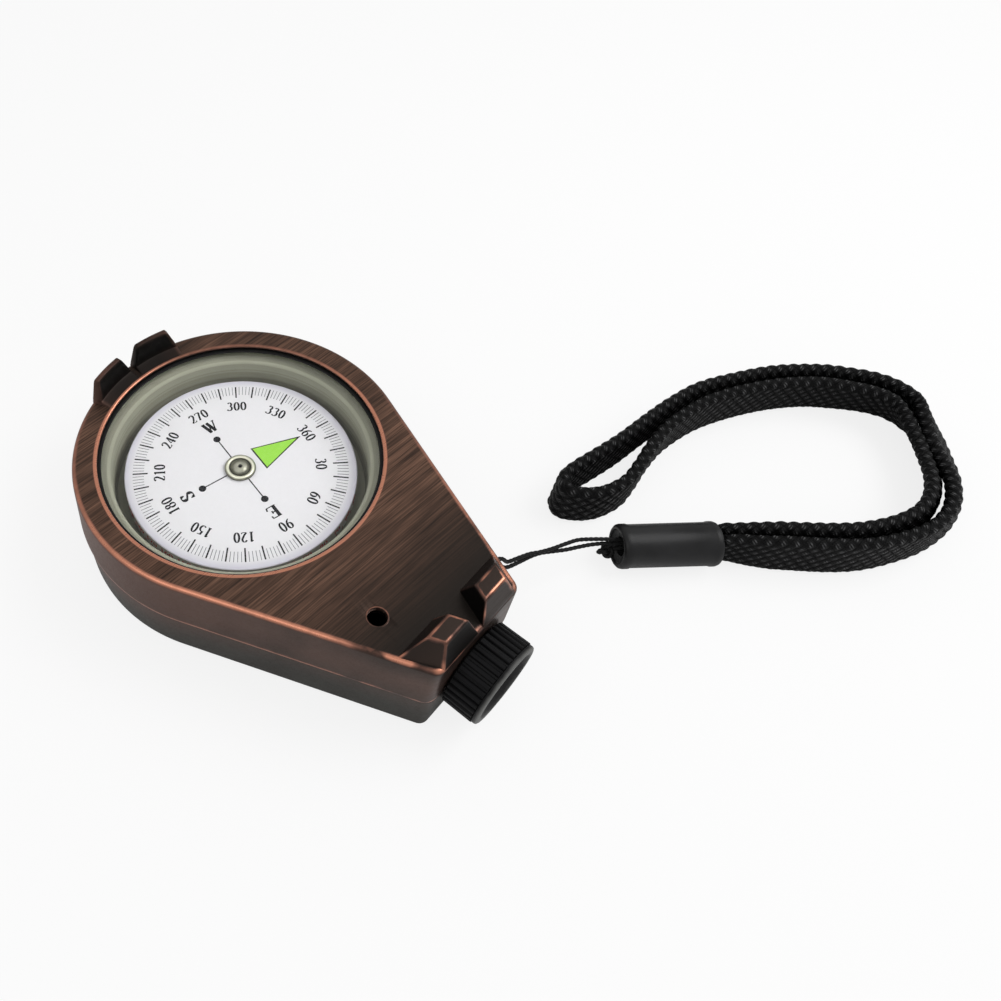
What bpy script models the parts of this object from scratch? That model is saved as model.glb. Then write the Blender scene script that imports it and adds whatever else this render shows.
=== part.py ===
"""Pocket sighting compass: a die-cast case with open sights, a liquid capsule with a turning card,
a focusing eyepiece and a braided wrist strap on a thin cord.

Sizes are in millimetres and angles in degrees; the meshes are made in metres. The origin is on the
card's pivot axis at the bottom face, +Y points to the front sights and +Z up.
"""

import math

import bmesh
import bpy
from mathutils import Vector

MM = 0.001

# Case outline
HEAD_RADIUS = 27.0
TAIL_REACH = 46.5
TAIL_HALF_WIDTH = 9.3
CORNER_RADIUS = 1.8
MIN_CORNER = 0.4
CASE_HEIGHT = 19.2
PARTING_HEIGHT = 9.8
UPPER_DRAFT = 0.4
PARTING_STEP = 0.3
LOWER_DRAFT = 0.2
TOP_ROUNDING = 0.7
FOOT_ROUNDING = 1.4
HEAD_STEPS = 60
CORNER_STEPS = 5

# Walls and seats of the case
WALL = 2.2
FLOOR = 1.4
ROOF = 1.6
LIP_THICKNESS = 0.7
LIP_WIDTH = 1.38
WINDOW_HOLE_CHAMFER = 0.2
TONGUE_HEIGHT = 0.85
TONGUE_INSET = 1.3
HEAD_WALL = 2.5
PARTITION = 1.5
SHOULDER_INSET = 8.5
NECK_GAP = 0.35
SIGHT_SLOT_WIDTH = 9.0
SIGHT_SLOT_HEIGHT = 8.0
TOP_HOLE_X = -8.2
TOP_HOLE_INSET = 11.7
TOP_HOLE_RADIUS = 1.45

# Clearances
FIT_GAP = 0.15
RUNNING_GAP = 0.08
PIVOT_GAP = 0.05

# How far cutters run past the faces that they cut, and joined pieces into each other
CUT_MARGIN = 1.0
JOIN_MARGIN = 0.3

# Sighting ears; their roots are sunk in the roof
EAR_ROOT = 0.55
EAR_SINK = 0.3
EAR_STEPS = 6
FRONT_EAR_HEIGHT = 3.9
FRONT_EAR_INSET = 0.06
FRONT_EAR_INNER_ANGLE = 0.9
FRONT_EAR_OUTER_ANGLE = 20.7
FRONT_EAR_LEAN = 3.2
FRONT_EAR_THICKNESS = 1.0
FRONT_EAR_FOOT = 1.75
FRONT_EAR_SHELF = 0.33
FRONT_EAR_RAMP_HEIGHT = 0.45
REAR_EAR_HEIGHT = 3.8
REAR_EAR_EDGE = 0.12
REAR_EAR_LENGTH = 5.88
REAR_EAR_RAMP = 1.9
REAR_EAR_TOP_LENGTH = 2.5
REAR_EAR_OUTER_INSET = 0.5
REAR_EAR_OUTER_LEAN = 2.6
REAR_NOTCH_FRONT = 2.95
REAR_NOTCH_BACK = 0.45
REAR_NOTCH_LEAN = 0.85

# Screws from below
SHOULDER_SCREW_ANGLE = 57.45
SHOULDER_SCREW_GAP = 3.38
TAIL_SCREW_GAP = 2.25
TAIL_SCREW_INSET = 5.5
SCREW_RADIUS = 0.7
SCREW_HEAD_RADIUS = 1.35
SCREW_HEAD_HEIGHT = 0.85
SCREW_HEAD_EDGE = 0.25
SCREW_RECESS = 0.2
SCREW_REACH = 5.2

# Capsule
CUP_GAP = 0.3
CUP_WALL = 3.2
CUP_FLOOR = 1.5
CUSHION_THICKNESS = 1.3
CUSHION_INSET = 1.0
CUSHION_WIDTH = 6.2
GASKET_WIDTH = 1.8
GASKET_THICKNESS = 0.3
WINDOW_THICKNESS = 1.5
DIAPHRAGM_RADIUS = 8.6
DIAPHRAGM_THICKNESS = 0.3
DIAPHRAGM_RING_WIDTH = 1.6
DIAPHRAGM_RING_THICKNESS = 0.3
PORT_RADIUS = 0.6
PORT_X = 5.2
PORT_Y = 1.7
FILLER_RADIUS = 1.1
FILLER_INSET = 0.4
FILLER_ANGLE = 201.0

# Card and pivot
CARD_GAP = 1.83
CARD_HEIGHT = 11.56
CARD_THICKNESS = 0.6
SKIRT_DEPTH = 4.6
SKIRT_WALL = 0.6
HUB_RADIUS = 2.6
HUB_STEM_RADIUS = 1.6
HUB_STEM_LENGTH = 3.1
HUB_BORE_RADIUS = 1.1
HUB_FLANGE = 0.55
HUB_RIM_WIDTH = 0.7
HUB_RIM_HEIGHT = 0.05
HUB_GROOVE_DEPTH = 0.1
HUB_EDGE = 0.1
HUB_CAP_RADIUS = 1.1
HUB_CAP_TOP_RADIUS = 0.7
HUB_CAP_HEIGHT = 0.45
JEWEL_HEIGHT = 0.95
JEWEL_CUP_RADIUS = 0.45
JEWEL_CUP_DEPTH = 0.6
MAGNET_RADIUS = 7.5
MAGNET_THICKNESS = 2.0
PIN_RADIUS = 0.35
PIN_TAPER = 1.0
POST_RADIUS = 1.3
POST_FOOT_RADIUS = 3.0
POST_FOOT_HEIGHT = 0.8
POST_HEIGHT = 3.0
PIN_SEAT = 1.6

# Sight plate between capsule and eyepiece
PLATE_WIDTH = 11.0
PLATE_THICKNESS = 0.8

# Eyepiece: lengths run outward along -Y from the rear wall
TUBE_RADIUS = 5.2
TUBE_WALL = 0.8
TUBE_REACH = 4.1
FLANGE_WIDTH = 1.2
FLANGE_THICKNESS = 1.2
COLLAR_WIDTH = 0.7
COLLAR_THICKNESS = 0.6
BARREL_LENGTH = 7.0
BARREL_WALL = 0.57
LENS_SEAT_STEP = 0.55
LENS_SEAT_DEPTH = 2.0
LENS_THICKNESS = 1.3
LENS_EDGE = 0.5
RETAINER_WIDTH = 0.7
RETAINER_THICKNESS = 0.3
RETAINER_INSET = 0.05
RING_WALL = 0.5
RING_RIB_HEIGHT = 0.4
RING_RIBS = 36
RING_LENGTH = 5.8
RING_BAND = 0.8
RING_BAND_INSET = 0.15
RING_BAND_EDGE = 0.2
RING_FUNNEL = 0.4
RING_END_WALL = 1.3

# Lanyard eye in the right side wall
EYE_HEIGHT = 12.3
EYE_PLACE = -31.35
EYE_RADIUS = 1.9
EYE_WIRE_RADIUS = 0.5
EYE_DEPTH = 1.3
EYE_STEPS = 8

# Wrist strap
SLEEVE_LENGTH = 16.0
SLEEVE_RADIUS = 3.75
SLEEVE_ROUNDING = 0.4
SLEEVE_MOUTH_RADIUS = 2.75
SLEEVE_MOUTH_DEPTH = 3.4
SLEEVE_START = (35.9, -51.2)
SLEEVE_HEADING = -45.0
KNOT_RADIUS = 1.35
KNOT_CENTRE = (34.9, -50.2, 2.55)
CORD_RADIUS = 0.35
STRAP_WIDTH = 8.5
STRAP_THICKNESS = 2.0
STRAP_LIFT = 0.06
STRAP_SQUEEZE = 0.74
STRAP_SQUEEZE_LENGTH = 9.0

# The thin cord runs from the sleeve through the eye and back; x, y, z
CORD_ROUTE = [
    (36.9, -51.45, 4.9), (35.26, -49.87, 5.3), (32.84, -47.73, 5.8), (30.78, -46.33, 6.4),
    (28.42, -45.45, 7.1), (25.69, -44.51, 7.8), (23.31, -43.54, 8.5), (21.63, -42.67, 9.0),
    (19.64, -41.99, 9.6), (17.2, -41.24, 10.4), (15.9, -40.95, 12.2), (15.2, -40.7, 13.1),
    (14.3, -40.36, 13.5), (13.5, -40.0, 13.15), (13.2, -39.88, 12.3), (13.5, -40.0, 11.4),
    (14.3, -40.36, 11.05), (15.6, -40.95, 10.4), (17.04, -41.6, 9.4), (19.65, -42.3, 8.7),
    (21.9, -42.85, 8.1), (23.8, -43.55, 7.6), (25.9, -44.7, 6.9), (28.1, -45.95, 6.2),
    (30.5, -47.1, 5.5), (32.87, -48.4, 4.9), (35.3, -50.2, 4.4), (36.7, -51.6, 4.1),
]
CORD_STEPS = 29
CORD_BEND_WEIGHT = 2.5

# The strap runs from the sleeve round to its fold and back beside itself; x, y and the angle by
# which its upper edge leans to the middle of the ring, with the sign of the running direction
STRAP_ROUTE = [
    (46.63, -63.51, 0), (48.0, -65.0, 0), (50.2, -68.3, 0), (53.8, -72.9, 0), (57.7, -77.6, 0),
    (61.4, -81.1, 0), (66.0, -84.1, 0), (71.2, -86.5, 3), (77.2, -87.4, 14), (82.7, -86.5, 30),
    (87.2, -84.4, 42), (91.1, -81.5, 46), (95.1, -78.5, 42), (98.0, -75.3, 34), (98.4, -71.0, 25),
    (97.2, -66.8, 18), (94.7, -62.5, 13), (91.6, -58.2, 9), (85.8, -52.6, 5), (78.9, -48.1, 2),
    (73.1, -45.0, 0), (67.4, -43.3, 0), (61.3, -42.1, 0), (53.5, -40.9, 0), (47.7, -39.6, 0),
    (42.7, -38.4, 0), (39.6, -38.1, 0), (38.0, -39.0, 0), (37.6, -40.3, 0), (38.4, -41.9, 0),
    (39.9, -43.6, 0), (42.3, -45.1, 0), (46.2, -46.2, 0), (50.8, -46.0, 0), (55.2, -45.5, 0),
    (61.0, -45.4, 0), (66.9, -46.4, 0), (72.0, -48.0, 0), (78.0, -51.1, -2), (83.9, -55.1, -5),
    (88.7, -59.6, -9), (91.6, -63.8, -14), (93.9, -68.0, -20), (94.8, -71.5, -28), (94.2, -74.2, -36),
    (92.6, -76.6, -42), (89.5, -79.5, -44), (85.8, -81.8, -40), (81.8, -83.5, -30), (77.1, -84.3, -16),
    (72.3, -83.7, -6), (67.8, -81.8, -2), (63.4, -78.8, 0), (59.9, -75.6, 0), (55.9, -71.1, 0),
    (52.3, -66.8, 0), (49.6, -63.6, 0), (48.21, -61.93, 0),
]
STRAP_STEPS = 49
STRAP_BEND_WEIGHT = 14.0

# Facets round turned pieces
LARGE_STEPS = 60
TURN_STEPS = 40
SMALL_STEPS = 20
SCREW_STEPS = 16
PORT_STEPS = 12

# Sizes and heights that follow from those above
SIDE_ANGLE = math.degrees(math.asin(HEAD_RADIUS / math.hypot(TAIL_HALF_WIDTH, TAIL_REACH))
                          - math.atan2(TAIL_HALF_WIDTH, TAIL_REACH))
HEAD_POCKET_RADIUS = HEAD_RADIUS - HEAD_WALL
WINDOW_HOLE_RADIUS = HEAD_POCKET_RADIUS - LIP_WIDTH
CUP_RADIUS = HEAD_POCKET_RADIUS - CUP_GAP
CUP_BORE_RADIUS = CUP_RADIUS - CUP_WALL
GASKET_INNER_RADIUS = CUP_RADIUS - GASKET_WIDTH
CUSHION_RADIUS = CUP_RADIUS - CUSHION_INSET
CUSHION_INNER_RADIUS = CUSHION_RADIUS - CUSHION_WIDTH
CARD_RADIUS = CUP_BORE_RADIUS - CARD_GAP
LIP_UNDERSIDE = CASE_HEIGHT - LIP_THICKNESS
GASKET_TOP = LIP_UNDERSIDE - FIT_GAP
WINDOW_TOP = GASKET_TOP - GASKET_THICKNESS - FIT_GAP
CUP_TOP = WINDOW_TOP - WINDOW_THICKNESS - FIT_GAP
CUSHION_BOTTOM = FLOOR + FIT_GAP
CUP_BOTTOM = CUSHION_BOTTOM + CUSHION_THICKNESS + FIT_GAP
CUP_FLOOR_TOP = CUP_BOTTOM + CUP_FLOOR
POCKET_FRONT = HEAD_POCKET_RADIUS + PARTITION
POCKET_BACK = TAIL_REACH - WALL
POCKET_SHOULDER = TAIL_REACH - SHOULDER_INSET
CARD_BOTTOM = CARD_HEIGHT - CARD_THICKNESS
HUB_SEAT = CARD_HEIGHT + FIT_GAP
HUB_BOTTOM = HUB_SEAT - HUB_STEM_LENGTH
JEWEL_TOP = CARD_HEIGHT - FIT_GAP
HUB_BORE_TOP = JEWEL_TOP + FIT_GAP
PIN_TIP = JEWEL_TOP - JEWEL_HEIGHT + JEWEL_CUP_DEPTH - PIVOT_GAP
POST_BOTTOM = CUP_FLOOR_TOP + FIT_GAP
POST_TOP = POST_BOTTOM + POST_HEIGHT
TUBE_BORE_RADIUS = TUBE_RADIUS - TUBE_WALL
FLANGE_RADIUS = TUBE_RADIUS + FLANGE_WIDTH
COLLAR_RADIUS = TUBE_RADIUS + COLLAR_WIDTH
POCKET_NECK = FLANGE_RADIUS + NECK_GAP
BARREL_RADIUS = TUBE_BORE_RADIUS - RUNNING_GAP
LENS_SEAT_RADIUS = BARREL_RADIUS - BARREL_WALL
RING_MOUTH_RADIUS = COLLAR_RADIUS + 2 * FIT_GAP
RING_RADIUS = RING_MOUTH_RADIUS + RING_WALL + RING_RIB_HEIGHT
RING_START = TAIL_REACH + 2 * FIT_GAP
RING_END = RING_START + RING_LENGTH
BARREL_END = RING_END - RING_END_WALL - 2 * FIT_GAP

MATERIALS = {
    "antique_copper": ((0.16, 0.075, 0.05, 1.0), 0.42, 0.9),
    "brass": ((0.55, 0.46, 0.25, 1.0), 0.3, 1.0),
    "steel": ((0.45, 0.45, 0.46, 1.0), 0.3, 1.0),
    "clear_plastic": ((0.62, 0.66, 0.5, 1.0), 0.08, 0.0),
    "black_rubber": ((0.015, 0.015, 0.015, 1.0), 0.7, 0.0),
    "grey_foam": ((0.2, 0.2, 0.2, 1.0), 0.9, 0.0),
    "white_card": ((0.8, 0.8, 0.83, 1.0), 0.5, 0.0),
    "ruby": ((0.4, 0.02, 0.08, 1.0), 0.1, 0.0),
    "ferrite": ((0.05, 0.05, 0.055, 1.0), 0.5, 0.3),
    "glass": ((0.75, 0.8, 0.82, 1.0), 0.05, 0.0),
    "black_plastic": ((0.02, 0.02, 0.022, 1.0), 0.4, 0.0),
    "black_braid": ((0.012, 0.012, 0.013, 1.0), 0.75, 0.0),
}

SIDE_NORMAL = Vector((math.cos(math.radians(SIDE_ANGLE)), -math.sin(math.radians(SIDE_ANGLE)), 0))
SIDE_FORWARD = Vector((math.sin(math.radians(SIDE_ANGLE)), math.cos(math.radians(SIDE_ANGLE)), 0))


def clear_scene():
    """Remove every object that the file was opened with."""
    for obj in list(bpy.data.objects):
        bpy.data.objects.remove(obj)


def make_collection(name):
    collection = bpy.data.collections.new(name)
    bpy.context.scene.collection.children.link(collection)
    return collection


def make_material(name, finish):
    colour, roughness, metallic = finish
    material = bpy.data.materials.new(name)
    material.use_nodes = True
    shader = material.node_tree.nodes["Principled BSDF"]
    shader.inputs["Base Color"].default_value = colour
    shader.inputs["Roughness"].default_value = roughness
    shader.inputs["Metallic"].default_value = metallic
    material.diffuse_color = colour
    return material


def add_object(name, data, collection, finish=None):
    """Put data in a collection as one named object, with a material of its own."""
    obj = bpy.data.objects.new(name, data)
    collection.objects.link(obj)
    if finish:
        data.materials.append(make_material(name, MATERIALS[finish]))
    if collection is cutters:
        obj.hide_render = True
        obj.display_type = "WIRE"
    return obj


def boolean(obj, tool, operation="DIFFERENCE"):
    """Cut obj with tool, or join tool to it."""
    modifier = obj.modifiers.new(tool.name, "BOOLEAN")
    modifier.object = tool
    modifier.operation = operation
    modifier.solver = "EXACT"


def side_x(y, inset):
    """Half width of the case at y, inset from the side wall's top edge."""
    return (HEAD_RADIUS - inset - y * SIDE_NORMAL.y) / SIDE_NORMAL.x


def case_outline(offset):
    """Plan of the case, offset outward from its top edge: head arc, tangent sides, round corners.

    The rear wall has no draft, so that the eyepiece seats flat on it.
    """
    radius = HEAD_RADIUS + offset
    corner = CORNER_RADIUS + offset
    if corner < MIN_CORNER:
        corner = MIN_CORNER
    points = []
    for step in range(HEAD_STEPS + 1):
        angle = math.radians(-SIDE_ANGLE + (180 + 2 * SIDE_ANGLE) * step / HEAD_STEPS)
        points.append((radius * math.cos(angle), radius * math.sin(angle)))
    centre_y = -(TAIL_REACH + min(offset, 0)) + corner
    centre_x = (radius - corner - centre_y * SIDE_NORMAL.y) / SIDE_NORMAL.x
    for side, start in ((-1, 180 + SIDE_ANGLE), (1, 270)):
        for step in range(CORNER_STEPS + 1):
            angle = math.radians(start + (90 - SIDE_ANGLE) * step / CORNER_STEPS)
            points.append((side * centre_x + corner * math.cos(angle),
                           centre_y + corner * math.sin(angle)))
    return points


def stacked_outlines(name, sections, collection, finish=None):
    """Solid through plan outlines of equal point counts, given as (height, outline) from below."""
    bm = bmesh.new()
    height, outline = sections[0]
    ring = [bm.verts.new((x * MM, y * MM, height * MM)) for x, y in outline]
    face = bm.faces.new(ring)
    for level, (height, outline) in enumerate(sections[1:]):
        grown = bmesh.ops.extrude_face_region(bm, geom=[face])["geom"]
        if level > 0:
            bm.faces.remove(face)
        face = next(item for item in grown if isinstance(item, bmesh.types.BMFace))
        copies = {vert.co[:]: vert for vert in face.verts}
        ring = [copies[vert.co[:]] for vert in ring]
        for vert, (x, y) in zip(ring, outline):
            vert.co = (x * MM, y * MM, height * MM)
    bmesh.ops.recalc_face_normals(bm, faces=bm.faces)
    mesh = bpy.data.meshes.new(name)
    bm.to_mesh(mesh)
    bm.free()
    mesh.shade_smooth()
    mesh.set_sharp_from_angle(angle=math.radians(30))
    return add_object(name, mesh, collection, finish)


def box(name, low, high, collection, finish=None):
    """Box between two corners."""
    bm = bmesh.new()
    bmesh.ops.create_cube(bm, size=1.0)
    for vert in bm.verts:
        for axis in range(3):
            middle = (low[axis] + high[axis]) / 2
            vert.co[axis] = (middle + vert.co[axis] * (high[axis] - low[axis])) * MM
    mesh = bpy.data.meshes.new(name)
    bm.to_mesh(mesh)
    bm.free()
    return add_object(name, mesh, collection, finish)


def turned(name, profile, steps, collection, finish=None):
    """Turn a profile of (radius, height) points about Z; one off the axis is closed to a ring."""
    closed = profile[0][0] > 0
    area = 0.0
    for (r0, z0), (r1, z1) in zip(profile, profile[1:] + profile[:1]):
        area += r0 * z1 - r1 * z0
    if area > 0:
        profile = profile[::-1]
    mesh = bpy.data.meshes.new(name)
    edges = [(index, index + 1) for index in range(len(profile) - 1)]
    if closed:
        edges.append((len(profile) - 1, 0))
    mesh.from_pydata([(r * MM, 0, z * MM) for r, z in profile], edges, [])
    obj = add_object(name, mesh, collection, finish)
    screw = obj.modifiers.new("turn", "SCREW")
    screw.steps = steps
    screw.render_steps = steps
    screw.use_merge_vertices = True
    screw.merge_threshold = 0.000001
    screw.use_smooth_shade = True
    return obj


def rod(name, radius, low, high, place, collection, finish=None, steps=SMALL_STEPS):
    """Upright cylinder between two heights at a place in plan."""
    profile = [(0, high), (radius, high), (radius, low), (0, low)]
    obj = turned(name, profile, steps, collection, finish)
    obj.location = (place[0] * MM, place[1] * MM, 0)
    return obj


def along_eyepiece(obj):
    """Lay a piece turned about Z along the eyepiece axis, its heights running to -Y."""
    obj.rotation_euler = (math.radians(90), 0, 0)
    obj.location = (0, 0, PARTING_HEIGHT * MM)
    return obj


def arc(radius, start, end, steps):
    """Points on an arc about the card axis; angles count from +Y towards +X."""
    points = []
    for step in range(steps + 1):
        angle = math.radians(start + (end - start) * step / steps)
        points.append((radius * math.sin(angle), radius * math.cos(angle)))
    return points


def mirrored(outline):
    """The same outline on the other side of the sight line, wound the same way."""
    return [(-x, y) for x, y in reversed(outline)]


def rounded_steps(rounding):
    """Insets and rises of a quarter-round edge, from the wall to the face."""
    steps = []
    for part in range(1, 4):
        angle = math.radians(30 * part)
        steps.append((rounding * (1 - math.cos(angle)), rounding * math.sin(angle)))
    return steps


def tail_pocket():
    """Plan of the room behind the capsule, with a narrow neck between the tail screws."""
    half = [
        (side_x(-POCKET_FRONT, WALL), -POCKET_FRONT),
        (side_x(-POCKET_SHOULDER, WALL), -POCKET_SHOULDER),
        (POCKET_NECK, -POCKET_SHOULDER),
        (POCKET_NECK, -POCKET_BACK),
    ]
    return half + mirrored(half)


def screw_places():
    """Two places beside the head's pocket and two beside the neck of the tail's room."""
    radius = HEAD_POCKET_RADIUS + SHOULDER_SCREW_GAP
    angle = math.radians(SHOULDER_SCREW_ANGLE)
    shoulder_x = radius * math.cos(angle)
    shoulder_y = -radius * math.sin(angle)
    tail_x = POCKET_NECK + TAIL_SCREW_GAP
    tail_y = -(TAIL_REACH - TAIL_SCREW_INSET)
    return [(shoulder_x, shoulder_y), (-shoulder_x, shoulder_y), (tail_x, tail_y), (-tail_x, tail_y)]


def front_ear_sections():
    """One front ear: a wall along the head's edge that narrows upward, with a ramp at its foot."""
    outer = HEAD_RADIUS - FRONT_EAR_INSET
    top = CASE_HEIGHT + FRONT_EAR_HEIGHT
    foot = CASE_HEIGHT + FRONT_EAR_RAMP_HEIGHT
    shelf = WINDOW_HOLE_RADIUS + FRONT_EAR_SHELF
    levels = [
        (CASE_HEIGHT - EAR_ROOT, shelf, 0.0),
        (CASE_HEIGHT, shelf, 0.0),
        (foot, outer - FRONT_EAR_FOOT, FRONT_EAR_LEAN * FRONT_EAR_RAMP_HEIGHT / FRONT_EAR_HEIGHT),
        (top, outer - FRONT_EAR_THICKNESS, FRONT_EAR_LEAN),
    ]
    sections = []
    for height, inner, lean in levels:
        start = FRONT_EAR_INNER_ANGLE + lean
        end = FRONT_EAR_OUTER_ANGLE - lean
        outline = arc(inner, start, end, EAR_STEPS) + arc(outer, end, start, EAR_STEPS)
        sections.append((height, outline))
    return sections


def rear_ear_sections():
    """One rear ear: ramps at front and back, a leaning outer side and one face of the notch."""
    back = -(TAIL_REACH - REAR_EAR_EDGE)
    front = back + REAR_EAR_LENGTH
    base = [
        (REAR_NOTCH_FRONT, front),
        (side_x(front, REAR_EAR_OUTER_INSET), front),
        (side_x(back, REAR_EAR_OUTER_INSET) - REAR_EAR_OUTER_INSET, back),
        (REAR_NOTCH_BACK, back),
    ]
    top_front = front - REAR_EAR_RAMP
    top_back = top_front - REAR_EAR_TOP_LENGTH
    share_front = (front - top_front) / (front - back)
    share_back = (front - top_back) / (front - back)
    notch_run = REAR_NOTCH_FRONT - REAR_NOTCH_BACK
    top = [
        (REAR_NOTCH_FRONT - notch_run * share_front + REAR_NOTCH_LEAN, top_front),
        (side_x(top_front, REAR_EAR_OUTER_INSET) - REAR_EAR_OUTER_LEAN, top_front),
        (side_x(top_back, REAR_EAR_OUTER_INSET) - REAR_EAR_OUTER_LEAN, top_back),
        (REAR_NOTCH_FRONT - notch_run * share_back + REAR_NOTCH_LEAN, top_back),
    ]
    return [
        (CASE_HEIGHT - EAR_ROOT, base),
        (CASE_HEIGHT - EAR_SINK, base),
        (CASE_HEIGHT + REAR_EAR_HEIGHT, top),
    ]


def make_upper_case():
    """Upper shell: drafted walls with a rounded top edge, window hole, pockets and sights."""
    rounding_start = CASE_HEIGHT - TOP_ROUNDING
    sections = [(PARTING_HEIGHT, case_outline(UPPER_DRAFT)), (rounding_start, case_outline(0))]
    for inset, rise in rounded_steps(TOP_ROUNDING):
        sections.append((rounding_start + rise, case_outline(-inset)))
    shell = stacked_outlines("upper_case", sections, parts, "antique_copper")

    for name, sections in (("front_ear", front_ear_sections()), ("rear_ear", rear_ear_sections())):
        boolean(shell, stacked_outlines(name + "_right", sections, cutters), "UNION")
        left = [(height, mirrored(outline)) for height, outline in sections]
        boolean(shell, stacked_outlines(name + "_left", left, cutters), "UNION")

    below = PARTING_HEIGHT - CUT_MARGIN
    above = CASE_HEIGHT + CUT_MARGIN
    hole = WINDOW_HOLE_RADIUS
    lip = hole - WINDOW_HOLE_CHAMFER
    chamfer_start = CASE_HEIGHT - WINDOW_HOLE_CHAMFER
    head_profile = [
        (0, above), (hole, above), (hole, CASE_HEIGHT), (lip, chamfer_start),
        (lip, LIP_UNDERSIDE), (HEAD_POCKET_RADIUS, LIP_UNDERSIDE), (HEAD_POCKET_RADIUS, below), (0, below),
    ]
    boolean(shell, turned("head_pocket_upper", head_profile, LARGE_STEPS, cutters))
    rebate = case_outline(-TONGUE_INSET)
    rebate_top = PARTING_HEIGHT + TONGUE_HEIGHT + FIT_GAP
    boolean(shell, stacked_outlines("rebate", [(below, rebate), (rebate_top, rebate)], cutters))
    roof = CASE_HEIGHT - ROOF
    pocket = tail_pocket()
    boolean(shell, stacked_outlines("tail_pocket_upper", [(below, pocket), (roof, pocket)], cutters))
    boolean(shell, sight_slot)
    boolean(shell, eyepiece_hole)
    hole_place = (TOP_HOLE_X, -(TAIL_REACH - TOP_HOLE_INSET))
    boolean(shell, rod("top_hole", TOP_HOLE_RADIUS, roof - CUT_MARGIN, above, hole_place, cutters))
    for index, place in enumerate(screw_places(), 1):
        bore_top = PARTING_HEIGHT + SCREW_REACH + FIT_GAP
        bore = rod(f"screw_bore_{index}", SCREW_RADIUS + FIT_GAP, below, bore_top, place, cutters,
                   steps=SCREW_STEPS)
        boolean(shell, bore)
    for index, foot in enumerate(eye_feet(), 1):
        wire = wire_curve(f"eye_hole_{index}", foot, EYE_WIRE_RADIUS + FIT_GAP, cutters)
        boolean(shell, curve_to_mesh(wire))
    return shell


def make_lower_case():
    """Lower shell: a floor with rounded foot, walls, and a tongue that enters the upper shell."""
    wall_top = UPPER_DRAFT - PARTING_STEP
    wall_foot = wall_top - LOWER_DRAFT
    sections = []
    for inset, rise in reversed(rounded_steps(FOOT_ROUNDING)):
        sections.append((FOOT_ROUNDING - rise, case_outline(wall_foot - inset)))
    shelf = PARTING_HEIGHT - FIT_GAP
    tongue = case_outline(-TONGUE_INSET - FIT_GAP)
    sections += [
        (FOOT_ROUNDING, case_outline(wall_foot)),
        (shelf, case_outline(wall_top)),
        (shelf, tongue),
        (PARTING_HEIGHT + TONGUE_HEIGHT, tongue),
    ]
    shell = stacked_outlines("lower_case", sections, parts, "antique_copper")

    above = PARTING_HEIGHT + TONGUE_HEIGHT + CUT_MARGIN
    below = -CUT_MARGIN
    boolean(shell, rod("head_pocket_lower", HEAD_POCKET_RADIUS, FLOOR, above, (0, 0), cutters,
                       steps=LARGE_STEPS))
    pocket = tail_pocket()
    boolean(shell, stacked_outlines("tail_pocket_lower", [(FLOOR, pocket), (above, pocket)], cutters))
    boolean(shell, sight_slot)
    boolean(shell, eyepiece_hole)
    for index, place in enumerate(screw_places(), 1):
        shank = SCREW_RADIUS + FIT_GAP
        head = SCREW_HEAD_RADIUS + FIT_GAP
        seat = SCREW_RECESS + SCREW_HEAD_HEIGHT + FIT_GAP
        profile = [(0, above), (shank, above), (shank, seat), (head, seat), (head, below), (0, below)]
        bore = turned(f"screw_seat_{index}", profile, SCREW_STEPS, cutters)
        bore.location = (place[0] * MM, place[1] * MM, 0)
        boolean(shell, bore)
    return shell


def make_shared_cutters():
    """The light path through the partition and the eyepiece's seat, cut half in each shell."""
    width = SIGHT_SLOT_WIDTH / 2
    height = SIGHT_SLOT_HEIGHT / 2
    slot = box("sight_slot", (-width, -POCKET_FRONT - CUT_MARGIN, PARTING_HEIGHT - height),
               (width, -HEAD_POCKET_RADIUS + PARTITION, PARTING_HEIGHT + height), cutters)
    hole = rod("eyepiece_hole", TUBE_RADIUS + FIT_GAP, POCKET_BACK - CUT_MARGIN,
               TAIL_REACH + CUT_MARGIN, (0, 0), cutters, steps=TURN_STEPS)
    return slot, along_eyepiece(hole)


def make_screws():
    """Four pan-head screws that come up from recesses in the floor."""
    head_top = SCREW_RECESS + SCREW_HEAD_HEIGHT
    tip = PARTING_HEIGHT + SCREW_REACH
    head = SCREW_HEAD_RADIUS
    edge = SCREW_HEAD_EDGE
    profile = [
        (0, tip), (SCREW_RADIUS, tip), (SCREW_RADIUS, head_top), (head, head_top),
        (head, SCREW_RECESS + edge), (head - edge, SCREW_RECESS), (0, SCREW_RECESS),
    ]
    for index, place in enumerate(screw_places(), 1):
        screw = turned(f"case_screw_{index}", profile, SCREW_STEPS, parts, "steel")
        screw.location = (place[0] * MM, place[1] * MM, 0)


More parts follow.
